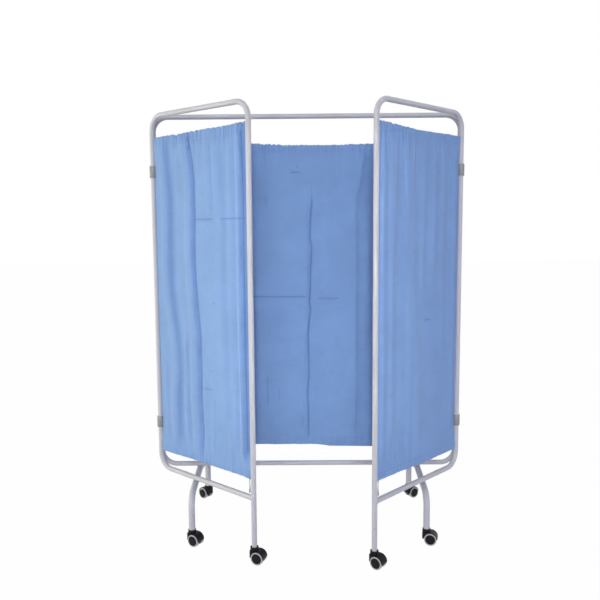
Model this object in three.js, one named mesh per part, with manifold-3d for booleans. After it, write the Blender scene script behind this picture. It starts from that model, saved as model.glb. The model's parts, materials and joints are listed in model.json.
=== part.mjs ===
// A three-panel folding ward screen on wheels: a closed centre hoop of bent tube on two arched feet,
// two hinged wings of the same tube, curtains gathered on thin rods, and six twin-wheel casters.
// Millimetres, +Z up, +X to the viewer's right, +Y away from the viewer, floor at z = 0.

import * as THREE from 'three';
import * as BufferGeometryUtils from 'three/addons/utils/BufferGeometryUtils.js';
import Module from 'manifold-3d';

const wasm = await Module();
wasm.setup();

// Driving sizes of the three panels
const overallHeight = 1689;
const centreWidth = 1230; // between the axes of the centre's side tubes
const wingWidth = 540; // from the hinge axis to the axis of the front leg
const bottomRailHeight = 247; // the axis of every bottom rail
const frameTubeDiameter = 20;
const frameBendRadius = 60;
const hingeSpacing = 24.5; // from a centre side tube to the wing's rear tube
const leftWingAngle = 40.5; // degrees opened from folded flat
const rightWingAngle = 45.6;

// Feet under the centre panel
const footTubeDiameter = 25;
const footInset = 155; // from a centre side tube's axis in to the foot
const footReach = 228; // leg axis in front of and behind the centre
const footBendRadius = 55;
const footSlope = 8; // degrees, the fall of the arch from the rail to its shoulder
const saddleDepth = 1; // how far the bottom rail sinks into the arch

// The weld where a wing's bottom rail meets its front leg
const weldBead = 0.8; // how far it stands proud of the rail
const weldReach = 5; // how far it runs along the rail

// Clearances
const runningGap = 0.3; // round every pin, stem, rod and bush
const seatGap = 0.3; // between pieces that rest on each other
const overrun = 2; // how far a cutter passes the face that it cuts

// Curtains and the rods that carry them
const rodDiameter = 5;
const rodSeatDepth = 4; // how far a rod end goes into its tube
const clothThickness = 2.4;
const clothSideGap = 2; // from the cloth to the hinge straps beside it
const pocketHalfDepth = 5.2; // the rod pocket, front to back
const pocketHalfHeight = 7;
const headerHeight = 14; // frill over the top rod
const hemHeight = 10; // cloth under the bottom rod
const wingHeadGap = 72; // open space between a wing's cloth and its top rail
const wingSillGap = 61; // and between the cloth and the bottom rail
const centreHeadGap = 98;
const centreSillGap = 71;
const leftFoldDepth = 6.5;
const rightFoldDepth = 4.5;
const centreFoldDepth = 4;
const wingFoldCount = 7;
const centreFoldCount = 7;

// How much of the fold depth shows in the rod pockets, the frill and below the top pocket,
// how far the folds crowd to one side, and where down the drop the sheet has a row of corners
const pocketFoldShare = 0.2;
const frillFoldShare = 0.7;
const wingCrowdShare = 0.18;
const centreCrowdShare = 0.12;
const fullFoldShare = 0.12;

// Hinges: a steel strap round both tubes, a plastic bush on the wing's tube, a screw into the centre
const lowerHingeRise = 192; // from the axis of the bottom rail up to the lower hinge
const upperHingeDrop = 218; // from the axis of the top rail down to the upper hinge
const strapHeight = 46;
const strapWall = 1.9;
const bushWall = 1.5;
const bushLip = 1.5; // the bush shows past each end of the strap
const screwShankDiameter = 4;
const screwHeadDiameter = 9;
const screwHeadHeight = 2.4;
const screwDepth = 7; // into the centre tube

// Twin-wheel caster
const casterHeight = 61; // floor to the end of the leg tube
const wheelDiameter = 48;
const wheelWidth = 13.4;
const wheelShoulder = 2.2;
const hubDiscRadius = 19.2;
const hubDiscRecess = 1;
const hubDiscDome = 0.6;
const webThickness = 16; // between the two wheels
const casterTrail = 17; // from the swivel axis back to the axle
const hoodWidth = 40;
const hoodWall = 1.6;
const hoodWheelGap = 1.4;
const hoodChin = 15.5; // from the swivel axis to the front of the hood
const hoodFrontRound = 11;
const hoodRearRound = 4;
const hoodTop = 62;
const collarRadius = 15.5;
const collarRecessDepth = 3;
const collarWall = 2.1;
const axleBossRadius = 11;
const axleDiameter = 6;
const axleLength = 34;
const stemDiameter = 8;
const stemBottom = 28;
const stemFlangeRadius = 9.4;
const stemFlangeHeight = 1.4;
const plugDiameter = 16;
const plugLength = 38;
const plugChamfer = 1.5;

// How the six casters stood, as turns of the trail from +X, in degrees
const leftFrontTurn = -22;
const rightFrontTurn = -38;
const leftFootFrontTurn = -30;
const rightFootFrontTurn = -16;
const leftFootRearTurn = 142;
const rightFootRearTurn = 32;

// Mesh fineness
const tubeSides = 12;
const bendSteps = 5;
const wheelSides = 16;
const turnedSides = 12;
const smallSides = 8;
const hoodSides = 16;
const hoodArchSteps = 6;
const hoodCornerSteps = 3;
const columnsPerFold = 5;

// Sizes that follow from the ones above
const frameTubeRadius = frameTubeDiameter / 2;
const footTubeRadius = footTubeDiameter / 2;
const topRailHeight = overallHeight - frameTubeRadius;
const railTop = bottomRailHeight + frameTubeRadius;
const railUnderside = topRailHeight - frameTubeRadius;
const wingCurtainTop = railUnderside - wingHeadGap;
const wingCurtainBottom = railTop + wingSillGap;
const centreCurtainTop = railUnderside - centreHeadGap;
const centreCurtainBottom = railTop + centreSillGap;
const hingeHeights = [bottomRailHeight + lowerHingeRise, topRailHeight - upperHingeDrop];
const hingeX = centreWidth / 2;
const footPlace = hingeX - footInset; // each side of the middle
const rodRadius = rodDiameter / 2;
const wheelRadius = wheelDiameter / 2;
const bushInner = frameTubeRadius + runningGap;
const bushOuter = bushInner + bushWall;
const strapWingInner = bushOuter + runningGap;
const strapCentreInner = frameTubeRadius + runningGap;
const clothEdge = strapWingInner + strapWall + clothSideGap; // from a side tube's axis
const axleHeight = wheelRadius;
const pocketRadius = wheelRadius + hoodWheelGap;
const hoodRadius = pocketRadius + hoodWall;
const collarFloor = hoodTop - collarRecessDepth;
const apexHeight = bottomRailHeight - frameTubeRadius - footTubeRadius + saddleDepth;

const paint = { colour: 0xd9d9e6, roughness: 0.38, metalness: 0.1 };
const cloth = { colour: 0x7ea3dc, roughness: 0.85, metalness: 0 };
const blackPlastic = { colour: 0x222226, roughness: 0.4, metalness: 0 };
const treadPlastic = { colour: 0xb4b4ba, roughness: 0.6, metalness: 0 };
const zincSteel = { colour: 0xa9adb3, roughness: 0.35, metalness: 0.85 };
const greyNylon = { colour: 0xc9ccd2, roughness: 0.55, metalness: 0 };

const degrees = THREE.MathUtils.degToRad;

// A curve that stops at chosen stations only, so straight runs cost one step and bends a few
class StationPath extends THREE.Curve {
  constructor(points, tangents) {
    super();
    this.points = points;
    this.tangents = tangents;
  }

  station(share) {
    return Math.round(share * (this.points.length - 1));
  }

  getPointAt(share) {
    return this.points[this.station(share)].clone();
  }

  getTangentAt(share) {
    return this.tangents[this.station(share)].clone().normalize();
  }

  get steps() {
    return this.points.length - 1;
  }
}

// Stations round one corner: an arc of the given radius between two straight runs
function cornerStations(before, corner, after, radius) {
  const inward = corner.clone().sub(before).normalize();
  const outward = after.clone().sub(corner).normalize();
  const turn = inward.angleTo(outward);
  const setback = radius * Math.tan(turn / 2);
  const start = corner.clone().addScaledVector(inward, -setback);
  const side = outward.clone().addScaledVector(inward, -inward.dot(outward)).normalize();
  const points = [];
  const tangents = [];
  for (let step = 0; step <= bendSteps; step += 1) {
    const angle = (turn * step) / bendSteps;
    const along = radius * Math.sin(angle);
    const across = radius * (1 - Math.cos(angle));
    points.push(start.clone().addScaledVector(inward, along).addScaledVector(side, across));
    tangents.push(inward.clone().multiplyScalar(Math.cos(angle)).addScaledVector(side, Math.sin(angle)));
  }
  return { points, tangents };
}

// A bent tube's centre line through its corners, all rounded with one radius
function bentPath(corners, radius) {
  const last = corners.length - 1;
  const points = [corners[0].clone()];
  const tangents = [corners[1].clone().sub(corners[0]).normalize()];
  for (let index = 1; index < last; index += 1) {
    const bend = cornerStations(corners[index - 1], corners[index], corners[index + 1], radius);
    points.push(...bend.points);
    tangents.push(...bend.tangents);
  }
  points.push(corners[last].clone());
  tangents.push(corners[last].clone().sub(corners[last - 1]).normalize());
  return new StationPath(points, tangents);
}

// A regular section with its corners on the axes
function roundSection(radius, sides) {
  const points = [];
  for (let side = 0; side < sides; side += 1) {
    const angle = (2 * Math.PI * side) / sides;
    points.push(new THREE.Vector2(radius * Math.cos(angle), radius * Math.sin(angle)));
  }
  return new THREE.Shape(points);
}

function sweptRod(path, radius, sides) {
  return new THREE.ExtrudeGeometry(roundSection(radius, sides), {
    steps: path.steps,
    extrudePath: path,
    bevelEnabled: false,
  });
}

// The corner radius of a polygon whose flats stay clear of a round piece
function boreRadius(pieceRadius, gap, sides) {
  return (pieceRadius + gap) / Math.cos(Math.PI / sides);
}

function solid(geometry) {
  const bare = geometry.clone();
  bare.deleteAttribute('normal');
  bare.deleteAttribute('uv');
  const merged = BufferGeometryUtils.mergeVertices(bare);
  return new wasm.Manifold(
    new wasm.Mesh({
      numProp: 3,
      vertProperties: merged.attributes.position.array,
      triVerts: Uint32Array.from(merged.index.array),
    }),
  );
}

function geometryOf(body) {
  const mesh = body.getMesh();
  const geometry = new THREE.BufferGeometry();
  geometry.setAttribute('position', new THREE.BufferAttribute(mesh.vertProperties, 3));
  geometry.setIndex(new THREE.BufferAttribute(mesh.triVerts, 1));
  geometry.computeVertexNormals();
  return geometry;
}

// A round bar between two heights, standing along Z
function uprightBar(radius, low, high, sides) {
  const bar = new THREE.CylinderGeometry(radius, radius, high - low, sides);
  bar.rotateX(Math.PI / 2);
  bar.translate(0, 0, (low + high) / 2);
  return bar;
}

// A round bar lying along X, from one place to another
function lengthwiseBar(radius, from, to, height, sides) {
  const bar = new THREE.CylinderGeometry(radius, radius, Math.abs(to - from), sides);
  bar.rotateZ(Math.PI / 2);
  bar.translate((from + to) / 2, 0, height);
  return bar;
}

// A round bar lying along Y
function crosswiseBar(radius, from, to, x, height, sides) {
  const bar = new THREE.CylinderGeometry(radius, radius, Math.abs(to - from), sides);
  bar.translate(x, (from + to) / 2, height);
  return bar;
}

// A turned piece from half its outline, [radius, height] pairs, standing along Z
function turned(outline, sides) {
  const points = outline.map(([radius, height]) => new THREE.Vector2(radius, height));
  const lathe = new THREE.LatheGeometry(points, sides);
  lathe.rotateX(Math.PI / 2);
  return lathe;
}

function part(name, geometry, finish) {
  const material = new THREE.MeshStandardMaterial({
    color: finish.colour,
    roughness: finish.roughness,
    metalness: finish.metalness,
  });
  const mesh = new THREE.Mesh(geometry, material);
  mesh.name = name;
  return mesh;
}

// The blind hole in a side tube that takes a rod end
function rodHole(tubeX, inward, height) {
  const surface = tubeX + inward * (frameTubeRadius + overrun);
  const bottom = tubeX + inward * (frameTubeRadius - rodSeatDepth - seatGap);
  const radius = boreRadius(rodRadius, runningGap, smallSides);
  return solid(lengthwiseBar(radius, surface, bottom, height, smallSides));
}

// The socket at the foot of a leg that takes the caster's plug
function plugSocket(x, y) {
  const top = casterHeight + plugLength + seatGap;
  const radius = boreRadius(plugDiameter / 2, runningGap, turnedSides);
  return solid(uprightBar(radius, casterHeight - overrun, top, turnedSides).translate(x, y, 0));
}

function centreRodHeights() {
  return [centreCurtainBottom + hemHeight, centreCurtainTop - headerHeight];
}

function wingRodHeights() {
  return [wingCurtainBottom + hemHeight, wingCurtainTop - headerHeight];
}

// The centre hoop: one closed loop of tube, so the swept surface has no open end
function centreFrame() {
  const corners = [
    new THREE.Vector3(0, 0, bottomRailHeight),
    new THREE.Vector3(hingeX, 0, bottomRailHeight),
    new THREE.Vector3(hingeX, 0, topRailHeight),
    new THREE.Vector3(-hingeX, 0, topRailHeight),
    new THREE.Vector3(-hingeX, 0, bottomRailHeight),
    new THREE.Vector3(0, 0, bottomRailHeight),
  ];
  const path = bentPath(corners, frameBendRadius);
  let body = solid(new THREE.TubeGeometry(path, path.steps, frameTubeRadius, tubeSides, true));
  for (const side of [-1, 1]) {
    for (const height of centreRodHeights()) {
      body = body.subtract(rodHole(side * hingeX, -side, height));
    }
    for (const height of hingeHeights) {
      const mouth = side * (hingeX + frameTubeRadius + overrun);
      const bottom = side * (hingeX + frameTubeRadius - screwDepth - seatGap);
      const radius = boreRadius(screwShankDiameter / 2, runningGap, smallSides);
      body = body.subtract(solid(lengthwiseBar(radius, mouth, bottom, height, smallSides)));
    }
  }
  return geometryOf(body);
}

// One foot: an arch of thicker tube, saddled onto the underside of the bottom rail
function footArch() {
  const fall = footReach * Math.tan(degrees(footSlope));
  const corners = [
    new THREE.Vector3(0, -footReach, casterHeight),
    new THREE.Vector3(0, -footReach, apexHeight - fall),
    new THREE.Vector3(0, 0, apexHeight),
    new THREE.Vector3(0, footReach, apexHeight - fall),
    new THREE.Vector3(0, footReach, casterHeight),
  ];
  const arch = sweptRod(bentPath(corners, footBendRadius), footTubeRadius, tubeSides);
  const seat = boreRadius(frameTubeRadius, seatGap, tubeSides);
  const span = footTubeDiameter + overrun;
  const rail = solid(lengthwiseBar(seat, -span, span, bottomRailHeight, tubeSides));
  const body = solid(arch)
    .subtract(rail)
    .subtract(plugSocket(0, -footReach))
    .subtract(plugSocket(0, footReach));
  return geometryOf(body);
}

// One wing: a single tube from the front leg over the top and back along the bottom to the leg.
// Drawn in its own plane, with the hinge axis at x = 0 and the leg at x = wingWidth.
function wingFrame() {
  const railEnd = wingWidth - frameTubeRadius - seatGap;
  const corners = [
    new THREE.Vector3(wingWidth, 0, casterHeight),
    new THREE.Vector3(wingWidth, 0, topRailHeight),
    new THREE.Vector3(0, 0, topRailHeight),
    new THREE.Vector3(0, 0, bottomRailHeight),
    new THREE.Vector3(railEnd, 0, bottomRailHeight),
  ];
  const hoop = sweptRod(bentPath(corners, frameBendRadius), frameTubeRadius, tubeSides);
  const beadRadius = frameTubeRadius + weldBead;
  const bead = lengthwiseBar(beadRadius, railEnd - weldReach, wingWidth, bottomRailHeight, tubeSides);
  let body = solid(hoop).add(solid(bead));
  for (const height of wingRodHeights()) {
    body = body.subtract(rodHole(0, 1, height));
    body = body.subtract(rodHole(wingWidth, -1, height));
  }
  return geometryOf(body.subtract(plugSocket(wingWidth, 0)));
}

// A gathered curtain between two tubes: a thin folded sheet that swells into a pocket at each rod
function curtain(from, to, bottom, top, foldDepth, foldCount, crowdShare) {
  const topRod = top - headerHeight;
  const bottomRod = bottom + hemHeight;
  const drop = topRod - bottomRod;
  const half = clothThickness / 2;
  // Each row: its height, its half thickness and the share of the fold depth that shows there
  const rows = [
    [top, half, frillFoldShare],
    [topRod + pocketHalfHeight, half, pocketFoldShare],
    [topRod, pocketHalfDepth, pocketFoldShare],
    [topRod - pocketHalfHeight, half, pocketFoldShare],
    [topRod - drop * fullFoldShare, half, 1],
    [bottomRod + pocketHalfHeight, half, pocketFoldShare],
    [bottomRod, pocketHalfDepth, pocketFoldShare],
    [bottom, half, pocketFoldShare],
  ];
  const columns = foldCount * columnsPerFold;
  const positions = [];
  for (const side of [1, -1]) {
    for (const [height, thick, foldShare] of rows) {
      for (let column = 0; column <= columns; column += 1) {
        const share = column / columns;
        const crowding = crowdShare * Math.sin(2 * Math.PI * share);
        const wave = Math.sin(2 * Math.PI * (foldCount * share + crowding));
        const x = THREE.MathUtils.lerp(from, to, share);
        positions.push(x, foldDepth * foldShare * wave + side * thick, height);
      }
    }
  }
  const across = columns + 1;
  const perSide = across * rows.length;
  const index = [];
  const quad = (a, b, c, d) => index.push(a, b, c, a, c, d);
  for (let row = 0; row + 1 < rows.length; row += 1) {
    for (let column = 0; column < columns; column += 1) {
      const corner = row * across + column;
      quad(corner, corner + 1, corner + across + 1, corner + across);
      const back = perSide + corner;
      quad(back, back + across, back + across + 1, back + 1);
    }
    const left = row * across;
    const right = left + columns;
    quad(left, left + across, perSide + left + across, perSide + left);
    quad(right, perSide + right, perSide + right + across, right + across);
  }
  const foot = perSide - across;
  for (let column = 0; column < columns; column += 1) {
    quad(column, perSide + column, perSide + column + 1, column + 1);
    quad(foot + column, foot + column + 1, perSide + foot + column + 1, perSide + foot + column);
  }
  const sheet = new THREE.BufferGeometry();
  sheet.setAttribute('position', new THREE.Float32BufferAttribute(positions, 3));
  sheet.setIndex(index);
  let body = new wasm.Manifold(
    new wasm.Mesh({
      numProp: 3,
      vertProperties: sheet.attributes.position.array,
      triVerts: Uint32Array.from(sheet.index.array),
    }),
  );
  const bore = boreRadius(rodRadius, runningGap, smallSides);
  for (const height of [bottomRod, topRod]) {
    body = body.subtract(solid(lengthwiseBar(bore, from - overrun, to + overrun, height, smallSides)));
  }
  return geometryOf(body);
}

// A curtain rod between two tubes, its ends seated in their holes
function rod(from, to, height) {
  const reach = frameTubeRadius - rodSeatDepth;
  return lengthwiseBar(rodRadius, from + reach, to - reach, height, smallSides);
}

// The strap round both tubes, drawn with the centre tube at the origin and the wing's at -Y
function hingeStrap(side) {
  const low = -strapHeight / 2;
  const high = strapHeight / 2;
  const cutLow = low - overrun;
  const cutHigh = high + overrun;
  const aside = (geometry) => geometry.translate(0, -hingeSpacing, 0);
  const centreOuter = uprightBar(strapCentreInner + strapWall, low, high, turnedSides);
  const wingOuter = aside(uprightBar(strapWingInner + strapWall, low, high, turnedSides));
  const bridge = new THREE.BoxGeometry(frameTubeDiameter, hingeSpacing, strapHeight);
  bridge.translate(0, -hingeSpacing / 2, 0);
  const centreBore = boreRadius(frameTubeRadius, runningGap, turnedSides);
  const wingBore = boreRadius(bushOuter, runningGap, turnedSides);
  const screwRadius = boreRadius(screwShankDiameter / 2, runningGap, smallSides);
  const screwReach = side * (strapCentreInner + strapWall + overrun);
  const body = solid(centreOuter)
    .add(solid(wingOuter))
    .add(solid(bridge))
    .subtract(solid(uprightBar(centreBore, cutLow, cutHigh, turnedSides)))
    .subtract(solid(aside(uprightBar(wingBore, cutLow, cutHigh, turnedSides))))
    .subtract(solid(lengthwiseBar(screwRadius, 0, screwReach, 0, smallSides)));
  return geometryOf(body);
}

function hingeBush() {
  const inner = boreRadius(frameTubeRadius, runningGap, turnedSides);
  const end = strapHeight / 2 + bushLip;
  const outline = [
    [inner, -end],
    [bushOuter, -end],
    [bushOuter, end],
    [inner, end],
    [inner, -end],
  ];
  return turned(outline, turnedSides);
}

// A round-headed screw along X, its head outside the strap
function hingeScrew(side) {
  const seat = strapCentreInner + strapWall + seatGap;
  const headRadius = screwHeadDiameter / 2;
  const crownShare = 0.65;
  const outline = [
    [0, frameTubeRadius - screwDepth],
    [screwShankDiameter / 2, frameTubeRadius - screwDepth],
    [screwShankDiameter / 2, seat],
    [headRadius, seat],
    [headRadius * crownShare, seat + screwHeadHeight],
    [0, seat + screwHeadHeight],
  ];
  const screw = turned(outline, smallSides);
  screw.rotateY((side * Math.PI) / 2);
  return screw;
}

// The caster's hood and web, with its swivel axis at the origin and its trail along +X
function casterHood() {
  const outline = new THREE.Shape();
  outline.moveTo(-hoodChin, axleHeight);
  outline.lineTo(casterTrail + hoodRadius, axleHeight);
  outline.absarc(casterTrail, axleHeight, hoodRadius, 0, Math.PI / 2, false);
  outline.lineTo(-hoodChin + hoodFrontRound / 2, axleHeight + hoodRadius);
  outline.lineTo(-hoodChin, axleHeight + hoodRadius - hoodFrontRound / 2);
  outline.closePath();
  const side = new THREE.ExtrudeGeometry(outline, {
    depth: hoodWidth,
    bevelEnabled: false,
    curveSegments: hoodArchSteps,
  });
  side.rotateX(Math.PI / 2);
  side.translate(0, hoodWidth / 2, 0);
  const front = -hoodChin;
  const rear = casterTrail + hoodRadius;
  const wide = hoodWidth / 2;
  const plan = new THREE.Shape();
  const quarter = Math.PI / 2;
  const corner = (x, y, radius, start) => plan.absarc(x, y, radius, start, start + quarter, false);
  plan.moveTo(front, -wide + hoodFrontRound);
  corner(front + hoodFrontRound, -wide + hoodFrontRound, hoodFrontRound, 2 * quarter);
  corner(rear - hoodRearRound, -wide + hoodRearRound, hoodRearRound, 3 * quarter);
  corner(rear - hoodRearRound, wide - hoodRearRound, hoodRearRound, 0);
  corner(front + hoodFrontRound, wide - hoodFrontRound, hoodFrontRound, quarter);
  const plate = new THREE.ExtrudeGeometry(plan, {
    depth: hoodTop,
    bevelEnabled: false,
    curveSegments: hoodCornerSteps,
  });
  const web = webThickness / 2;
  const past = wide + overrun;
  const onAxle = (radius, from, to, sides) => {
    const bar = crosswiseBar(radius, from, to, casterTrail, axleHeight, sides);
    return solid(bar);
  };
  const stemBore = boreRadius(stemDiameter / 2, runningGap, turnedSides);
  const axleBore = boreRadius(axleDiameter / 2, runningGap, turnedSides);
  const recess = collarRadius - collarWall;
  const body = solid(side)
    .intersect(solid(plate))
    .add(solid(uprightBar(collarRadius, axleHeight + wheelRadius / 2, hoodTop, hoodSides)))
    .subtract(onAxle(pocketRadius, web, past, hoodSides))
    .subtract(onAxle(pocketRadius, -past, -web, hoodSides))
    .add(onAxle(axleBossRadius, -web, web, turnedSides))
    .subtract(onAxle(axleBore, -past, past, turnedSides))
    .subtract(solid(uprightBar(recess, collarFloor, hoodTop + overrun, hoodSides)))
    .subtract(solid(uprightBar(stemBore, stemBottom - seatGap, hoodTop, turnedSides)));
  return geometryOf(body);
}

function casterStem() {
  const flangeTop = casterHeight - seatGap;
  const flangeBottom = flangeTop - stemFlangeHeight;
  const plugRadius = plugDiameter / 2;
  const plugTop = casterHeight + plugLength;
  const outline = [
    [0, stemBottom],
    [stemDiameter / 2, stemBottom],
    [stemDiameter / 2, flangeBottom],
    [stemFlangeRadius, flangeBottom],
    [stemFlangeRadius, flangeTop],
    [plugRadius, flangeTop],
    [plugRadius, plugTop - plugChamfer],
    [plugRadius - plugChamfer, plugTop],
    [0, plugTop],
  ];
  return turned(outline, turnedSides);
}

function casterAxle() {
  const end = axleLength / 2;
  return crosswiseBar(axleDiameter / 2, -end, end, casterTrail, axleHeight, turnedSides);
}

// One wheel with its tread, a flat of the tread turned to the floor; side is +1 or -1 along Y
function casterWheel(side) {
  const flat = 1 / Math.cos(Math.PI / wheelSides);
  const tread = wheelRadius * flat;
  const shoulder = (wheelRadius - wheelShoulder) * flat;
  const inner = webThickness / 2 + runningGap;
  const outer = inner + wheelWidth;
  const bore = boreRadius(axleDiameter / 2, runningGap, wheelSides);
  const boreEnd = axleLength / 2 + seatGap;
  const outline = [
    [0, boreEnd],
    [bore, boreEnd],
    [bore, inner],
    [shoulder, inner],
    [tread, inner + wheelShoulder],
    [tread, outer - wheelShoulder],
    [shoulder, outer],
    [hubDiscRadius, outer],
    [hubDiscRadius, outer - hubDiscRecess],
    [0, outer - hubDiscRecess + hubDiscDome],
  ];
  const wheel = turned(outline, wheelSides);
  wheel.rotateZ(Math.PI / wheelSides);
  wheel.rotateX((-side * Math.PI) / 2);
  wheel.translate(casterTrail, 0, axleHeight);
  return wheel;
}

function caster(name, turn) {
  const group = new THREE.Group();
  group.rotation.z = degrees(turn);
  group.add(part(`${name}_caster_hood`, casterHood(), blackPlastic));
  group.add(part(`${name}_caster_axle`, casterAxle(), zincSteel));
  group.add(part(`${name}_caster_wheel_a`, casterWheel(-1), treadPlastic));
  group.add(part(`${name}_caster_wheel_b`, casterWheel(1), treadPlastic));
  return group;
}

// A caster and the stem that plugs it into its leg, at the foot of that leg
function casterOnLeg(name, x, y, turn) {
  const group = new THREE.Group();
  group.position.set(x, y, 0);
  group.add(part(`${name}_caster_stem`, casterStem(), zincSteel));
  group.add(caster(name, turn));
  return group;
}

function hinge(name, side, height) {
  const group = new THREE.Group();
  group.position.set(side * hingeX, 0, height);
  group.add(part(`${name}_hinge_strap`, hingeStrap(side), zincSteel));
  group.add(part(`${name}_hinge_screw`, hingeScrew(side), zincSteel));
  const bush = part(`${name}_hinge_bush`, hingeBush(), greyNylon);
  bush.position.y = -hingeSpacing;
  group.add(bush);
  return group;
}

function centrePanel() {
  const group = new THREE.Group();
  const [bottomRod, topRod] = centreRodHeights();
  group.add(part('centre_frame', centreFrame(), paint));
  group.add(part('centre_top_rod', rod(-hingeX, hingeX, topRod), zincSteel));
  group.add(part('centre_bottom_rod', rod(-hingeX, hingeX, bottomRod), zincSteel));
  const reach = hingeX - clothEdge;
  const sheet = curtain(-reach, reach, centreCurtainBottom, centreCurtainTop,
    centreFoldDepth, centreFoldCount, centreCrowdShare);
  group.add(part('centre_curtain', sheet, cloth));
  for (const [name, x] of [['left_foot', -footPlace], ['right_foot', footPlace]]) {
    const arch = part(name, footArch(), paint);
    arch.position.x = x;
    group.add(arch);
  }
  group.add(casterOnLeg('left_foot_front', -footPlace, -footReach, leftFootFrontTurn));
  group.add(casterOnLeg('left_foot_rear', -footPlace, footReach, leftFootRearTurn));
  group.add(casterOnLeg('right_foot_front', footPlace, -footReach, rightFootFrontTurn));
  group.add(casterOnLeg('right_foot_rear', footPlace, footReach, rightFootRearTurn));
  return group;
}

// A wing drawn in its own plane, then turned about the hinge axis. The right wing's plane runs the
// other way, so its leg lies at the same place along it and its casters are turned back.
function wing(name, side, opened, casterTurn) {
  const group = new THREE.Group();
  const heading = side < 0 ? -opened : 180 + opened;
  group.position.set(side * hingeX, -hingeSpacing, 0);
  group.rotation.z = degrees(heading);
  const [bottomRod, topRod] = wingRodHeights();
  group.add(part(`${name}_wing_frame`, wingFrame(), paint));
  group.add(part(`${name}_wing_top_rod`, rod(0, wingWidth, topRod), zincSteel));
  group.add(part(`${name}_wing_bottom_rod`, rod(0, wingWidth, bottomRod), zincSteel));
  const foldDepth = side < 0 ? leftFoldDepth : rightFoldDepth;
  const sheet = curtain(clothEdge, wingWidth - clothEdge, wingCurtainBottom, wingCurtainTop,
    foldDepth, wingFoldCount, wingCrowdShare);
  group.add(part(`${name}_wing_curtain`, sheet, cloth));
  group.add(casterOnLeg(`${name}_front`, wingWidth, 0, casterTurn - heading));
  return group;
}

const screen = new THREE.Group();
screen.add(centrePanel());
screen.add(wing('left', -1, leftWingAngle, leftFrontTurn));
screen.add(wing('right', 1, rightWingAngle, rightFrontTurn));
for (const [level, height] of [['lower', hingeHeights[0]], ['upper', hingeHeights[1]]]) {
  screen.add(hinge(`left_${level}`, -1, height));
  screen.add(hinge(`right_${level}`, 1, height));
}

// The origin is on the floor, in the middle of the whole screen as it stands
screen.updateMatrixWorld(true);
const bounds = new THREE.Box3().setFromObject(screen, true);
const middle = bounds.getCenter(new THREE.Vector3());
screen.position.set(-middle.x, -middle.y, -bounds.min.z);
screen.updateMatrixWorld(true);

export default screen;
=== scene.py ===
"""Looks for a three-panel ward screen on wheels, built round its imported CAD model.

Metres, +Z up, +X to the viewer's right, +Y away from the viewer, floor at z = 0.
"""

import json
import math

import bmesh
import bpy
import numpy as np
from bpy.props import FloatProperty, FloatVectorProperty, PointerProperty
from mathutils import Matrix, Vector


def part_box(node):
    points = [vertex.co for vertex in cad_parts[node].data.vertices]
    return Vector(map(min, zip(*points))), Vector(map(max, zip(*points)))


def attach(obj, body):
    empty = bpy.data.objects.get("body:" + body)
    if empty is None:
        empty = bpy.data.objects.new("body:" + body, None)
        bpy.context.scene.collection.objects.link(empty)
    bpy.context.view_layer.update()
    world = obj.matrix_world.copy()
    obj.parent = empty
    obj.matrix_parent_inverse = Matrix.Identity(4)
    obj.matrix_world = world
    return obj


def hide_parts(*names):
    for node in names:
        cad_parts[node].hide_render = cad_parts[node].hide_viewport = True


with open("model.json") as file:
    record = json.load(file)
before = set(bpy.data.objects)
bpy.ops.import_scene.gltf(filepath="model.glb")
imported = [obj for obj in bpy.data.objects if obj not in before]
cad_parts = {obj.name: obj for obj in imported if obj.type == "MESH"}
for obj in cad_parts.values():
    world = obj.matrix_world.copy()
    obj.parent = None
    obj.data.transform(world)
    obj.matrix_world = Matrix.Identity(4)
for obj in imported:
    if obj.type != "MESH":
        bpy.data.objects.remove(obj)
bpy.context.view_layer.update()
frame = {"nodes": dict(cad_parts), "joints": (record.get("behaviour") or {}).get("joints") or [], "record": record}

bl_info = {
    "name": "Ward screen",
    "version": (1, 0, 0),
    "blender": (4, 5, 0),
    "location": "View3D > Sidebar > Ward screen",
    "description": "A three-panel ward screen on wheels, with its stage",
    "category": "Object",
}

MM = 0.001
UP = np.array((0.0, 0.0, 1.0))
JOINTS = {joint["name"]: joint for joint in frame["joints"]}
CASTERS = (
    "left_front",
    "right_front",
    "left_foot_front",
    "left_foot_rear",
    "right_foot_front",
    "right_foot_rear",
)

# Places and sizes that the frame gives
FRAME_LOW, FRAME_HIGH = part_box("centre_frame")
FOOT_LOW, FOOT_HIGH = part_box("left_foot")
TUBE_RADIUS = (FRAME_HIGH.y - FRAME_LOW.y) / 2
FOOT_RADIUS = (FOOT_HIGH.x - FOOT_LOW.x) / 2
CENTRE_Y = (FRAME_HIGH.y + FRAME_LOW.y) / 2
HALF_WIDTH = JOINTS["right_wing_hinge"]["pos_m"][0]
HINGE_SPACING = CENTRE_Y - JOINTS["right_wing_hinge"]["pos_m"][1]
TOP_RAIL = FRAME_HIGH.z - TUBE_RADIUS
BOTTOM_RAIL = FRAME_LOW.z + TUBE_RADIUS
LEG_END = FOOT_LOW.z
FOOT_PLACE = (FOOT_HIGH.x + FOOT_LOW.x) / -2
CLOTH_LEVEL = LEG_END - 52 * MM

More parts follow.
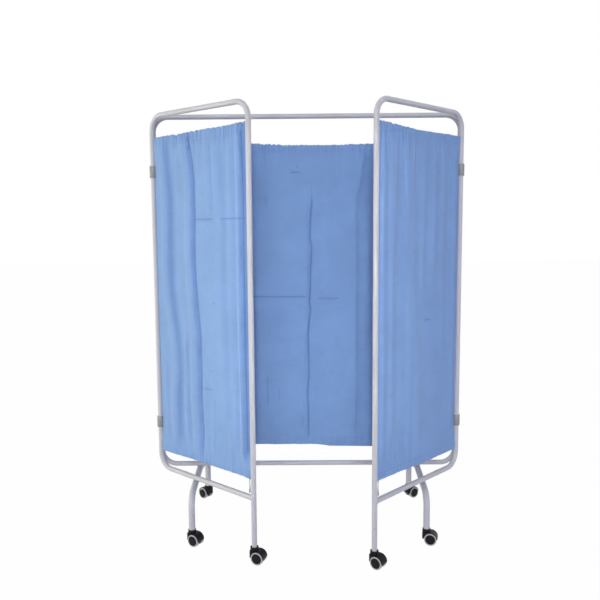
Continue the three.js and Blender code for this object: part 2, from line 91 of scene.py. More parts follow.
# Tubes
BEND_RADIUS = 60 * MM
FOOT_BEND_RADIUS = 55 * MM
FOOT_SLOPE = math.radians(8)
SADDLE = 1 * MM
TUBE_WALL = 1.3 * MM
BORE_DEPTH = 34 * MM
TUBE_SIDES = 40
BEND_STEPS = 28
TURNED_SEGMENTS = 64
SHARP_ANGLE = math.radians(38)
END_ROUND = 0.35 * MM
BEAD_RADIUS = 1.7 * MM
BEAD_SIDES = 10
BEAD_POINTS = 96
BEAD_RIPPLE = 0.13
BEAD_HUG = 0.975
TUBE_JOINT = {"left": 152 * MM, "right": 141 * MM}
JOINT_BEAD_RADIUS = 1.2 * MM
TRIM_SINK = 0.3 * MM
FOOT_BEAD_ALONG = 7.4 * MM
FOOT_BEAD_ACROSS = 8.8 * MM
FOOT_BEAD_LEAST = 0.9 * MM
RIVET_RISE = 86 * MM
RIVET_FACING = (-0.1, -1.0, 0.0)
# Half of the rivet's outline: (radius, height) in millimetres
RIVET_OUTLINE = ((0, 0), (2.1, 0), (2.1, 0.5), (1.5, 1.0), (0, 1.2))

# Cloth
COLUMN_PITCH = 3.0 * MM
ROW_PITCH = 8 * MM
CLOTH_TUBE_GAP = 1.1 * MM
STRAP_CLEARANCE = 5.0 * MM
STRAP_REACH = 34 * MM
FRILL_HALF = 0.9 * MM
SEAM_HALF = 0.4 * MM
POCKET_HALF = 3.1 * MM
POCKET_SPREAD = 8.5 * MM
ROD_FRONT = 2.6 * MM
ROD_FRONT_REACH = 130 * MM
ROD_RADIUS = 2.5 * MM
ROD_CLEARANCE = 0.6 * MM
ROD_END_GAP = 6 * MM
ROD_CHAMFER = 0.6 * MM
SEAM_DROP = 18 * MM
SEAM_RIPPLE = 0.35 * MM
SEAM_RIPPLE_LENGTH = 9.5 * MM
SEAM_RIPPLE_REACH = 9 * MM
TURN_IN = 4 * MM
TURN_IN_HALF = 0.75 * MM
EDGE_WANDER = 0.5 * MM
TAPE_HALF = 2.4 * MM
TAPE_THICKNESS = 0.7 * MM
TAPE_STEPS = 24
TAPE_SHADE = 0.22
# The seam distance, in millimetres, of what lies beyond every seam
FAR_FROM_SEAM = 20.0

# Folds, gathers and creases. A fold's gentle side is RIDGE_TAIL times as long as its steep side,
# and a gather is twice as wide GATHER_SPREAD metres from its rod.
RIDGE_TAIL = 2.2
FOLD_LIMIT = 11 * MM
GATHER_SHIFT = 14 * MM
GATHER_SPREAD = 0.2
CREASE_SPREAD = 2.2 * MM
CREASE_END = 9 * MM
CREASE_DEPTH = 1.8
UPRIGHT_SPREAD = 3 * MM
UPRIGHT_END = 30 * MM
# How much each rod flattens the folds beside it, and how far that reaches
TOP_HOLD, TOP_HOLD_REACH = 0.6, 40 * MM
BOTTOM_HOLD, BOTTOM_HOLD_REACH = 0.72, 60 * MM

# Shade painted into the cloth's colour along creases: the width of a line, the shares for round and flat folds,
# and the sizes of a level crease, an upright one (both in millimetres) and a gather that get the painted shade in
# full
PAINTED_SHADE_WIDTH = 2.4 * MM
ROUND_PAINTED_SHADE = 0.26
FLAT_PAINTED_SHADE = 0.42
FULL_CREASE = 1.6
FULL_UPRIGHT = 2.4
FULL_GATHER = 4.5 * MM

# Hinges
STRAP_HALF = 23 * MM
STRAP_CENTRE_RADIUS = 12.2 * MM
STRAP_WING_RADIUS = 14.0 * MM
STRAP_EDGE = 0.7 * MM
STRAP_SPOTS = 260
STRAP_SOFTNESS = 9
STRAP_POINTS = 96
BUSH_INNER = 10.3 * MM
BUSH_OUTER = 11.8 * MM
BUSH_HALF = 24.5 * MM
BUSH_EDGE = 0.35 * MM
SCREW_GAP = 0.05 * MM
SCREW_HEAD_RADIUS = 4.5 * MM
SCREW_HEAD_HEIGHT = 2.4 * MM
SCREW_RIM = 0.5 * MM
SCREW_SHANK = 2 * MM
SCREW_START = 3 * MM
SCREW_SOCKET = 1.5 * MM

# Casters, with the swivel axis at the origin and the trail along +X
TRAIL = 17 * MM
AXLE_HEIGHT = 24 * MM
WHEEL_RADIUS = 24 * MM
WHEEL_INNER = 8.3 * MM
WHEEL_OUTER = 21.7 * MM
TREAD_ROUND = 2.4 * MM
HUB_RADIUS = 19.4 * MM
WEB_HALF = 8 * MM
HOOD_HALF = 20 * MM
HOOD_RADIUS = 27 * MM
POCKET_RADIUS = 25.4 * MM
HOOD_CHIN = 15.5 * MM
HOOD_FRONT_ROUND = 11 * MM
HOOD_REAR_ROUND = 4 * MM
HOOD_SHOULDER = 5 * MM
HOOD_EDGE = 1.3 * MM
HOOD_LIP = 0.35 * MM
HOOD_STEPS = 8
# Where the hood's lines are drawn on each side of its middle plane, in millimetres
HOOD_STATIONS = (8, 9, 11, 13, 15, 16.5, 17.6, 18.5, 19.1, 19.5, 19.8, 20)
COLLAR_RADIUS = 15.5 * MM
COLLAR_INNER = 13.4 * MM
COLLAR_TOP = LEG_END + 1 * MM
COLLAR_FLOOR = COLLAR_TOP - 3 * MM
COLLAR_LIP = 0.7 * MM
BOSS_RADIUS = 11 * MM
BOSS_EDGE = 0.5 * MM
BOSS_SINK = 0.1 * MM
AXLE_BORE = 3.3 * MM
AXLE_REACH = 17.3 * MM

# Camera, fitted to the photograph's frame of 600 by 600 pixels: to the side, in front of the centre
# panel's plane and above the level of the leg ends
CAMERA_PLACE = (-0.014, CENTRE_Y - 2.788, LEG_END + 1.1882)
CAMERA_PITCH = math.radians(6.3358)
CAMERA_YAW = math.radians(-0.3487)
CAMERA_ROLL = math.radians(-0.4142)
CAMERA_LENS = 40.864
CAMERA_SENSOR = 36

# Lamps: where they stand, what they face, how large they are and their colours
KEY_DIRECTION = (0.05, 0.94, -0.34)
KEY_ANGLE = math.radians(40)
KEY_COLOUR = (1, 0.99, 0.98)
SOFTBOX_SIZE = (1.8, 2.6)
LEFT_SOFTBOX = ((-3.9, -0.3, 1.1), (-0.4, 0, 0.95))
RIGHT_SOFTBOX = ((3.0, -2.6, 1.2), (0.2, 0, 0.95))
LEFT_COLOUR = (1, 0.95, 0.71)
RIGHT_COLOUR = (0.77, 0.73, 1)
STRIP_SIZE = (0.25, 1.2)
STRIP_PLACE = (0.0, -3.9, 1.5)
STRIP_AIMS = (("left_strip", -0.24), ("right_strip", 0.26))
STRIP_HEIGHT = 0.93
STRIP_SPREAD = math.radians(11)
STRIP_COLOUR = (1, 0.97, 0.8)


# What the frame says of a node


def middle_height(node):
    low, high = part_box(node)
    return (low.z + high.z) / 2


def node_body(node):
    bodies = frame["record"]["behaviour"]["bodies"]
    return next(body for body, nodes in bodies.items() if node in nodes)


def panel_body(panel):
    return "centre_panel" if panel == "centre" else panel


# Planes, paths and surfaces


def unit(vectors):
    """A vector, or rows of vectors, made one long."""
    return vectors / np.linalg.norm(vectors, axis=-1, keepdims=True)


def ring_tangents(points):
    """The direction of a closed line at each of its points."""
    return unit(np.roll(points, -1, axis=0) - np.roll(points, 1, axis=0))


def turn_angles(count):
    """Even angles round one full turn."""
    return 2 * math.pi * np.arange(count) / count


def arc(radius, away):
    """How far a circle reaches from its middle line at a distance along that line."""
    return np.sqrt(np.maximum(radius**2 - away**2, 0))


def bell(away, width):
    """1 at no distance, falling softly to nil beyond the width."""
    return np.exp(-((away / width) ** 2))


def step_up(value):
    """A smooth step from 0 to 1 while the value goes from 0 to 1."""
    value = np.clip(value, 0, 1)
    return value * value * (3 - 2 * value)


def within(value, low, high, soft):
    """1 between low and high, with soft ends inside them."""
    return step_up((value - low) / soft) * step_up((high - value) / soft)


class Plane:
    """An upright plane. u runs along it, v out of it to the viewer's side, and z up."""

    def __init__(self, start, along):
        self.start = np.array((start[0], start[1], 0.0))
        self.along = unit(np.array((along[0], along[1], 0.0)))
        self.out = np.array((self.along[1], -self.along[0], 0.0))
        if self.out[1] > 0:
            self.out = -self.out

    def place(self, u, z, v=0.0):
        u, z, v = (value[..., None] for value in np.broadcast_arrays(u, z, v))
        return self.start + u * self.along + v * self.out + z * UP


def wing_plane(side):
    hinge = np.array(JOINTS[f"{side}_wing_hinge"]["pos_m"])
    leg = np.array(JOINTS[f"{side}_front_swivel"]["pos_m"])
    return Plane(hinge, leg - hinge)


def wing_width():
    hinge = np.array(JOINTS["left_wing_hinge"]["pos_m"][:2])
    leg = np.array(JOINTS["left_front_swivel"]["pos_m"][:2])
    return float(np.linalg.norm(leg - hinge))


WING_WIDTH = wing_width()


def centre_plane():
    return Plane((0.0, CENTRE_Y), (1.0, 0.0))


def bent_path(corners, radius):
    """A centre line through corners (u, z) rounded with one radius: its points and directions."""
    corners = [np.array(corner, float) for corner in corners]
    points = [corners[0]]
    directions = [unit(corners[1] - corners[0])]
    for before, corner, after in zip(corners, corners[1:], corners[2:]):
        inward = unit(corner - before)
        outward = unit(after - corner)
        turn = math.acos(np.clip(inward @ outward, -1, 1))
        side = unit(outward - inward * (inward @ outward))
        start = corner - inward * radius * math.tan(turn / 2)
        for step in range(BEND_STEPS + 1):
            angle = turn * step / BEND_STEPS
            along = inward * radius * math.sin(angle)
            across = side * radius * (1 - math.cos(angle))
            points.append(start + along + across)
            directions.append(inward * math.cos(angle) + side * math.sin(angle))
    points.append(corners[-1])
    directions.append(unit(corners[-1] - corners[-2]))
    return np.array(points), np.array(directions)


def open_ended(path, radius, both=True):
    """Adds a rounded lip and a hollow bore to the start of a tube's path, or to both of its ends.

    Gives points, directions and radii.
    """
    points, directions = path
    bore = radius - TUBE_WALL
    lip = [(0.0, radius - END_ROUND), (0.0, bore + END_ROUND), (END_ROUND, bore), (BORE_DEPTH, bore)]
    depths, sizes = np.array(lip).T
    radii = np.concatenate([sizes[::-1], np.full(len(points), radius)])
    inward = directions[0]
    rim = points[0] + np.outer(depths[::-1], inward)
    points = np.vstack([rim, points[0] + inward * END_ROUND, points[1:]])
    directions = np.vstack([np.tile(inward, (len(lip), 1)), directions])
    if both:
        onward = directions[-1]
        rim = points[-1] - np.outer(depths, onward)
        points = np.vstack([points[:-1], points[-1] - onward * END_ROUND, rim])
        directions = np.vstack([directions, np.tile(onward, (len(lip), 1))])
        radii = np.concatenate([radii, sizes])
    return points, directions, radii


def tube_rings(plane, points, directions, radii):
    angles = turn_angles(TUBE_SIDES)
    across = np.stack([-directions[:, 1], directions[:, 0]], axis=1)
    spread = np.outer(radii, np.cos(angles))[..., None] * across[:, None, :]
    centre = points[:, None, :] + spread
    return plane.place(centre[..., 0], centre[..., 1], np.outer(radii, np.sin(angles)))


class Surface:
    """Closed surfaces gathered into one mesh."""

    def __init__(self):
        self.points = []
        self.faces = []
        self.count = 0

    def add(self, points, faces):
        points = np.asarray(points, float).reshape(-1, 3)
        self.points.append(points)
        self.faces += [[corner + self.count for corner in face] for face in faces]
        self.count += len(points)
        return self

    def loft(self, rings, loop=False):
        """Rings of points, each closed round, joined in a row, with flat ends unless it is a loop."""
        count, sides = rings.shape[:2]
        faces = []
        for ring in range(count if loop else count - 1):
            here, there = ring * sides, (ring + 1) % count * sides
            for side in range(sides):
                after = (side + 1) % sides
                faces.append((here + side, here + after, there + after, there + side))
        if not loop:
            faces.append(tuple(range(sides)))
            faces.append(tuple(range((count - 1) * sides, count * sides)))
        return self.add(rings, faces)

    def turned(self, outline, origin, axis, loop=False, segments=TURNED_SEGMENTS):
        """A turned form from half its outline, (radius, height) pairs, about an axis."""
        axis = unit(np.array(axis, float))
        side = unit(np.cross(axis, (0.31, 0.77, 0.56)))
        other = np.cross(axis, side)
        angles = turn_angles(segments)
        circle = np.outer(np.cos(angles), side) + np.outer(np.sin(angles), other)
        points, rings, faces = [], [], []
        for radius, height in outline:
            centre = np.array(origin, float) + axis * height
            ring = [centre] if radius == 0 else list(centre + circle * radius)
            rings.append(range(len(points), len(points) + len(ring)))
            points += ring
        pairs = list(zip(rings, rings[1:] + rings[:1])) if loop else list(zip(rings, rings[1:]))
        for first, second in pairs:
            for step in range(segments):
                after = (step + 1) % segments
                corners = [first[step % len(first)], first[after % len(first)]]
                corners += [second[after % len(second)], second[step % len(second)]]
                face = tuple(dict.fromkeys(corners))
                if len(face) > 2:
                    faces.append(face)
        return self.add(points, faces)

    def mesh(self, name):
        """The finished mesh: normals outward, smooth but for its sharp edges."""
        mesh = bpy.data.meshes.new(name)
        mesh.from_pydata(np.vstack(self.points).tolist(), [], self.faces)
        shape = bmesh.new()
        shape.from_mesh(mesh)
        bmesh.ops.recalc_face_normals(shape, faces=shape.faces)
        for edge in shape.edges:
            edge.smooth = edge.calc_face_angle(0.0) < SHARP_ANGLE
        for face in shape.faces:
            face.smooth = True
        shape.to_mesh(mesh)
        shape.free()
        return mesh


def put(name, data):
    """Puts an object with this data in the scene."""
    thing = bpy.data.objects.new(name, data)
    bpy.context.scene.collection.objects.link(thing)
    return thing


def piece(name, mesh, finish, body, place=None):
    """Puts a mesh in the scene as a piece that moves with a CAD body."""
    thing = put(name, mesh)
    if not mesh.materials:
        mesh.materials.append(finish)
    if place is not None:
        thing.matrix_world = place
    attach(thing, body)
    return thing


def weld_bead(surface, centres, radii):
    """A rippled bead of weld round a closed line."""
    tangents = ring_tangents(centres)
    outward = centres - centres.mean(axis=0)
    outward = unit(outward - tangents * np.sum(outward * tangents, axis=1, keepdims=True))
    upward = np.cross(tangents, outward)
    ripple = 1 + BEAD_RIPPLE * np.sin(math.pi / 2 * np.arange(len(centres)))
    size = (radii * ripple)[:, None, None]
    angles = turn_angles(BEAD_SIDES)[None, :, None]
    circle = np.cos(angles) * outward[:, None, :] + np.sin(angles) * upward[:, None, :]
    surface.loft(centres[:, None, :] + size * circle, loop=True)


# Finishes


class Finish:
    """One material: its shader and the nodes that feed it."""

    def __init__(self, name, colour, roughness, **sockets):
        self.material = bpy.data.materials.new(name)
        self.material.use_nodes = True
        self.tree = self.material.node_tree
        self.shader = self.tree.nodes["Principled BSDF"]
        self.shader.inputs["Base Color"].default_value = (*colour, 1.0)
        self.shader.inputs["Roughness"].default_value = roughness
        for socket, value in sockets.items():
            self.shader.inputs[socket.replace("_", " ")].default_value = value
        self.material.diffuse_color = (*colour, 1.0)

    def node(self, kind, settings=None, **inputs):
        node = self.tree.nodes.new("ShaderNode" + kind)
        for key, value in (settings or {}).items():
            setattr(node, key, value)
        for key, value in inputs.items():
            socket = node.inputs[int(key[1:])] if key[0] == "_" else node.inputs[key.replace("_", " ")]
            if isinstance(value, bpy.types.NodeSocket):
                self.tree.links.new(value, socket)
            else:
                socket.default_value = value
        return node

    def place(self, scale):
        """Object coordinates, stretched by a scale for each axis."""
        source = self.node("TexCoord").outputs["Object"]
        return self.node("Mapping", Vector=source, Scale=scale).outputs["Vector"]

    def noise(self, vector, scale, detail=2.0, roughness=0.5):
        node = self.node("TexNoise", Vector=vector, Scale=scale, Detail=detail, Roughness=roughness)
        return node.outputs["Fac"]

    def span(self, value, low, high, start=0.35, end=0.65):
        """Maps a value between start and end to one between low and high."""
        settings = {"interpolation_type": "SMOOTHSTEP"}
        node = self.node("MapRange", settings, Value=value)
        for index, number in enumerate((start, end, low, high), start=1):
            node.inputs[index].default_value = number
        return node.outputs["Result"]

    def math(self, operation, first, second=0.0):
        return self.node("Math", {"operation": operation}, _0=first, _1=second).outputs["Value"]

    def blend(self, factor, first, second):
        """Mixes two colours, each a colour or a socket."""
        node = self.node("Mix", {"data_type": "RGBA"}, _0=factor)
        for index, colour in ((6, first), (7, second)):
            if isinstance(colour, bpy.types.NodeSocket):
                self.tree.links.new(colour, node.inputs[index])
            else:
                node.inputs[index].default_value = (*colour, 1.0)
        return node.outputs[2]

    def bump(self, height, strength, distance, below=None):
        node = self.node("Bump", Strength=strength, Distance=distance, Height=height)
        if below is not None:
            self.tree.links.new(below, node.inputs["Normal"])
        return node.outputs["Normal"]

    def feed(self, socket, output):
        self.tree.links.new(output, self.shader.inputs[socket])


def tinted(colour, factor):
    return tuple(min(1.0, part * factor) for part in colour)


def powder_coat(settings):
    colour = tuple(settings.paint_colour)
    finish = Finish("powder_coat", colour, settings.paint_roughness, Specular_IOR_Level=0.35)
    place = finish.place((1, 1, 1))
    cloudy = finish.span(finish.noise(place, scale=9, detail=3), 0, 1)
    base = finish.blend(cloudy, colour, tinted(colour, 0.955))
    scuffs = finish.noise(finish.place((1, 1, 0.25)), scale=60, detail=5, roughness=0.65)
    marks = finish.span(scuffs, 0, 1, start=0.66, end=0.76)
    scuffed = (0.36, 0.355, 0.38)
    finish.feed("Base Color", finish.blend(finish.math("MULTIPLY", marks, 0.35), base, scuffed))
    dull = 0.46
    finish.feed("Roughness", finish.span(cloudy, settings.paint_roughness, dull, start=0, end=1))
    peel = finish.noise(place, scale=900, detail=1)
    finish.feed("Normal", finish.bump(peel, strength=0.12, distance=0.2 * MM))
    return finish.material


def woven_cotton(name, colour, settings):
    """Plain weave in the cloth's own coordinates, with slubs, a sheen, stitches and shade painted into its
    creases.
    """
    finish = Finish(name, colour, 0.78, Sheen_Weight=settings.sheen, Sheen_Roughness=0.45,
                    Sheen_Tint=(0.95, 0.97, 1.0, 1.0), Specular_IOR_Level=0.45)
    thread = finish.node("TexCoord").outputs["UV"]
    across, down = (
        finish.node("Mapping", Vector=thread, Scale=stretch).outputs["Vector"]
        for stretch in ((900, 22, 1), (16, 900, 1))
    )
    slubs = finish.math("ADD", finish.noise(across, scale=1), finish.noise(down, scale=1))
    base = finish.blend(finish.span(slubs, 0, 1, start=0.85, end=1.2), colour, tinted(colour, 0.9))
    broad = finish.noise(thread, scale=7, detail=3, roughness=0.6)
    base = finish.blend(finish.span(broad, 0, 0.5), base, tinted(colour, 1.07))
    stitch = stitch_mask(finish, thread)
    base = finish.blend(finish.math("MULTIPLY", stitch, 0.3), base, tinted(colour, 0.6))
    # Painted shade: the colour darkens to a deep blue along creases, gathers and fold hollows, where shade would
    # fall
    painted_shade = finish.node("Attribute", {"attribute_name": "painted_shade"}).outputs["Fac"]
    painted_shade_colour = tuple(part * share for part, share in zip(colour, (0.26, 0.38, 0.6)))
    finish.feed("Base Color", finish.blend(finish.math("MULTIPLY", painted_shade, 0.7), base, painted_shade_colour))
    weft, warp = (
        finish.node("TexWave", {"bands_direction": way}, Vector=thread, Scale=settings.thread_scale)
        for way in "XY"
    )
    weave = finish.math("MULTIPLY", weft.outputs["Fac"], warp.outputs["Fac"])
    uneven = finish.math("ADD", weave, finish.math("MULTIPLY", slubs, 0.6))
    normal = finish.bump(uneven, strength=0.08, distance=0.12 * MM)
    rumple = finish.noise(thread, scale=42, detail=3, roughness=0.55)
    normal = finish.bump(rumple, strength=0.16, distance=2.2 * MM, below=normal)
    hollow = finish.math("SUBTRACT", 1.0, stitch)
    normal = finish.bump(hollow, strength=0.35, distance=0.4 * MM, below=normal)
    finish.feed("Normal", normal)
    return finish.material


def stitch_mask(finish, thread):
    """1 on the stitches: dashes of thread along the lines where the seam distance is nil."""
    distance = finish.node("Attribute", {"attribute_name": "seam_distance"}).outputs["Fac"]
    near = finish.span(finish.math("ABSOLUTE", distance), 1, 0, start=0.35, end=0.9)
    split = finish.node("SeparateXYZ", Vector=thread).outputs["X"]
    stitch_length = 3.2 * MM
    phase = finish.math("SINE", finish.math("MULTIPLY", split, 2 * math.pi / stitch_length))
    dash = finish.span(phase, 0, 1, start=-0.75, end=-0.45)
    return finish.math("MULTIPLY", near, dash)


def moulded_plastic(name, colour, roughness):
    finish = Finish(name, colour, roughness, Specular_IOR_Level=0.13)
    place = finish.place((1, 1, 1))
    patches = finish.noise(place, scale=140, detail=4, roughness=0.6)
    worn = finish.span(patches, 0, 1, start=0.5, end=0.8)
    half_worn = finish.math("MULTIPLY", worn, 0.5)
    finish.feed("Base Color", finish.blend(half_worn, colour, tinted(colour, 1.6)))
    finish.feed("Roughness", finish.span(worn, roughness, roughness + 0.14, start=0, end=1))
    fine = finish.noise(place, scale=1500)
    finish.feed("Normal", finish.bump(fine, strength=0.06, distance=0.15 * MM))
    return finish.material


def rubber_tread(colour):
    finish = Finish("rubber_tread", colour, 0.55)
    place = finish.place((1, 1, 1))
    patches = finish.noise(place, scale=220, detail=4, roughness=0.6)
    dust = finish.span(patches, 0, 1, start=0.45, end=0.75)
    finish.feed("Base Color", finish.blend(dust, colour, tinted(colour, 0.8)))
    finish.feed("Roughness", finish.span(dust, 0.5, 0.7, start=0, end=1))
    fine = finish.noise(place, scale=1200)
    finish.feed("Normal", finish.bump(fine, strength=0.12, distance=0.15 * MM))
    return finish.material


def plated_steel(colour, name="plated_steel"):
    finish = Finish(name, colour, 0.5, Metallic=0.2, Specular_IOR_Level=0.3)
    place = finish.place((1, 1, 1))
    spangle = finish.node("TexVoronoi", Vector=place, Scale=260).outputs["Color"]
    grey = finish.node("RGBToBW", Color=spangle).outputs["Val"]
    soft = finish.span(grey, 0, 1, start=0, end=1)
    finish.feed("Base Color", finish.blend(soft, colour, tinted(colour, 0.86)))
    finish.feed("Roughness", finish.span(grey, 0.42, 0.56, start=0, end=1))
    fine = finish.noise(place, scale=700)
    finish.feed("Normal", finish.bump(fine, strength=0.08, distance=0.15 * MM))
    return finish.material


def finish_named(name, make):
    """The finish with this name, made the first time that a piece asks for it."""
    return bpy.data.materials.get(name) or make()


def steel():
    colour = tuple(bpy.context.scene.ward_screen_hinges.steel_colour)
    return finish_named("plated_steel", lambda: plated_steel(colour))


def black_plastic():
    colour = tuple(bpy.context.scene.ward_screen_casters.black_colour)
    return finish_named("moulded_black", lambda: moulded_plastic("moulded_black", colour, 0.34))


# Frames and feet


def centre_hoop():
    corners = [
        (0.0, BOTTOM_RAIL),
        (HALF_WIDTH, BOTTOM_RAIL),
        (HALF_WIDTH, TOP_RAIL),
        (-HALF_WIDTH, TOP_RAIL),
        (-HALF_WIDTH, BOTTOM_RAIL),
        (0.0, BOTTOM_RAIL),
    ]
    points, directions = bent_path(corners, BEND_RADIUS)
    points, directions = points[:-1], directions[:-1]
    radii = np.full(len(points), TUBE_RADIUS)
    surface = Surface()
    surface.loft(tube_rings(centre_plane(), points, directions, radii), loop=True)
    return surface


def wing_hoop(side):
    plane = wing_plane(side)
    corners = [
        (WING_WIDTH, LEG_END),
        (WING_WIDTH, TOP_RAIL),
        (0.0, TOP_RAIL),
        (0.0, BOTTOM_RAIL),
        (WING_WIDTH - TUBE_RADIUS / 2, BOTTOM_RAIL),
    ]
    path = bent_path(corners, BEND_RADIUS)
    surface = Surface()
    surface.loft(tube_rings(plane, *open_ended(path, TUBE_RADIUS, both=False)))
    angles = turn_angles(BEAD_POINTS)
    up, across = np.cos(angles), np.sin(angles)
    saddle = WING_WIDTH - arc(TUBE_RADIUS, BEAD_HUG * TUBE_RADIUS * across) - BEAD_RADIUS / 3
    corner = plane.place(saddle, BOTTOM_RAIL + TUBE_RADIUS * up, TUBE_RADIUS * across)
    weld_bead(surface, corner, np.full(BEAD_POINTS, BEAD_RADIUS))
    reach = TUBE_RADIUS - TRIM_SINK
    joint = plane.place(TUBE_JOINT[side], BOTTOM_RAIL + reach * up, reach * across)
    weld_bead(surface, joint, np.full(BEAD_POINTS, JOINT_BEAD_RADIUS))
    return surface


def foot_arch(place_x):
    plane = Plane((place_x, CENTRE_Y), (0.0, 1.0))
    reach = (FOOT_HIGH.y - FOOT_LOW.y) / 2 - FOOT_RADIUS
    apex = BOTTOM_RAIL - TUBE_RADIUS - FOOT_RADIUS + SADDLE
    shoulder = apex - reach * math.tan(FOOT_SLOPE)
    corners = [
        (-reach, LEG_END),
        (-reach, shoulder),
        (0.0, apex),
        (reach, shoulder),
        (reach, LEG_END),
    ]
    surface = Surface()
    path = bent_path(corners, FOOT_BEND_RADIUS)
    surface.loft(tube_rings(plane, *open_ended(path, FOOT_RADIUS)))
    angles = turn_angles(BEAD_POINTS)
    along, across = FOOT_BEAD_ALONG * np.cos(angles), FOOT_BEAD_ACROSS * np.sin(angles)
    rail = BOTTOM_RAIL - arc(TUBE_RADIUS, along)
    arch = apex + arc(FOOT_RADIUS, across) - np.abs(along) * math.tan(FOOT_SLOPE)
    centres = plane.place(along, (rail + arch) / 2, across)
    weld_bead(surface, centres, np.maximum((rail - arch) / 2, 0) + FOOT_BEAD_LEAST)
    return surface


def add_frames():
    settings = bpy.context.scene.ward_screen_frames
    paint = finish_named("powder_coat", lambda: powder_coat(settings))
    jobs = [("centre_frame", centre_hoop(), "centre_panel")]
    jobs += [(f"{side}_wing_frame", wing_hoop(side), f"{side}_wing") for side in ("left", "right")]
    jobs += [("left_foot", foot_arch(-FOOT_PLACE), "centre_panel")]
    jobs += [("right_foot", foot_arch(FOOT_PLACE), "centre_panel")]
    for node, surface, body in jobs:
        tube = piece(f"{node}_tube", surface.mesh(f"{node}_tube"), paint, body)
        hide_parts(node)
    plane = wing_plane("right")
    facing = unit(np.array(RIVET_FACING))
    seat = plane.place(WING_WIDTH, LEG_END + RIVET_RISE) + facing * (TUBE_RADIUS - TRIM_SINK)
    outline = [(radius * MM, height * MM) for radius, height in RIVET_OUTLINE]
    rivet = Surface().turned(outline, seat, facing, segments=24)
    piece("right_leg_rivet", rivet.mesh("right_leg_rivet"), steel(), "right_wing")


def add_rods():
    """The thin rods in the curtains' pockets, with chamfered ends."""
    panels = (
        ("centre", centre_plane(), -HALF_WIDTH, HALF_WIDTH),
        ("left_wing", wing_plane("left"), 0.0, WING_WIDTH),
        ("right_wing", wing_plane("right"), 0.0, WING_WIDTH),
    )
    for panel, plane, start, end in panels:
        length = end - start - 2 * ROD_END_GAP
        tip = ROD_RADIUS - ROD_CHAMFER
        outline = [(0, 0), (tip, 0), (ROD_RADIUS, ROD_CHAMFER)]
        outline += [(ROD_RADIUS, length - ROD_CHAMFER), (tip, length), (0, length)]
        for level in ("top", "bottom"):
            node = f"{panel}_{level}_rod"
            origin = plane.place(start + ROD_END_GAP, middle_height(node))
            surface = Surface().turned(outline, origin, plane.along, segments=32)
            body = panel_body(panel)
            rod = piece(f"{node}_bar", surface.mesh(f"{node}_bar"), steel(), body)
            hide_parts(node)


# Curtains. Folds and creases are in millimetres: u from the hinge axis, or from the middle of the
# centre panel, and the height above the floor.


class Fold:
    """A ridge beside a crisp line.

    The line runs through (u, height) points. The ridge stands on the side of the lean, its steep
    flank reaches `near` from the line to the crest, and the cloth levels out `far` past the line.
    A round fold has no crisp line and blends from its crest to its hollow. The drop is how far the
    hollow lies behind the plane, as a share of the depth, and a flat hollow stays low up to `far`.
    The last argument is how darkly shade is painted into the cloth's colour along its line.
    """

    def __init__(self, line, depth, near, far, lean=1, fade=(60, 60), soft=25,
                 round_line=False, drop=0.35, flat=False, mark=0.0):
        line = sorted(line, key=lambda point: point[1])
        self.heights = np.array([height for _, height in line]) * MM + CLOTH_LEVEL
        self.places = np.array([place for place, _ in line]) * MM
        self.depth, self.near, self.far = depth * MM, near * MM, far * MM
        self.lean, self.fade, self.soft = lean, [max(part, 1) * MM for part in fade], soft * MM
        self.round_line, self.drop, self.flat, self.mark = round_line, drop, flat, mark

    def at(self, z):
        """Where the line runs at each height."""
        spread = [np.interp(z + shift * self.soft, self.heights, self.places) for shift in (-1, 0, 1)]
        return (spread[0] + 2 * spread[1] + spread[2]) / 4

    def form(self, u, z):
        """How far the fold lifts the cloth."""
        side = self.lean * (u - self.at(z))
        ridge = np.clip(-side / self.near, 0, 1 + RIDGE_TAIL)
        steep = -self.drop + (1 + self.drop) * np.sin(math.pi / 2 * np.clip(ridge, 0, 1))
        gentle = 0.5 + 0.5 * np.cos(math.pi * (ridge - 1) / RIDGE_TAIL)
        shelf = -self.drop * np.clip(1 - side / self.far, 0, 1) ** (0.5 if self.flat else 2)
        shape = np.where(side > 0, shelf, np.where(ridge < 1, steep, gentle))
        if self.round_line:
            hollow = bell(side - 0.4 * self.far, 0.75 * self.far)
            shape = bell(side + self.near, 1.1 * self.near) - 0.6 * hollow
        top, foot = self.fade
        rise = step_up((z - self.heights[0] + foot) / foot)
        fall = step_up((self.heights[-1] + top - z) / top)
        return self.depth * shape * rise * fall


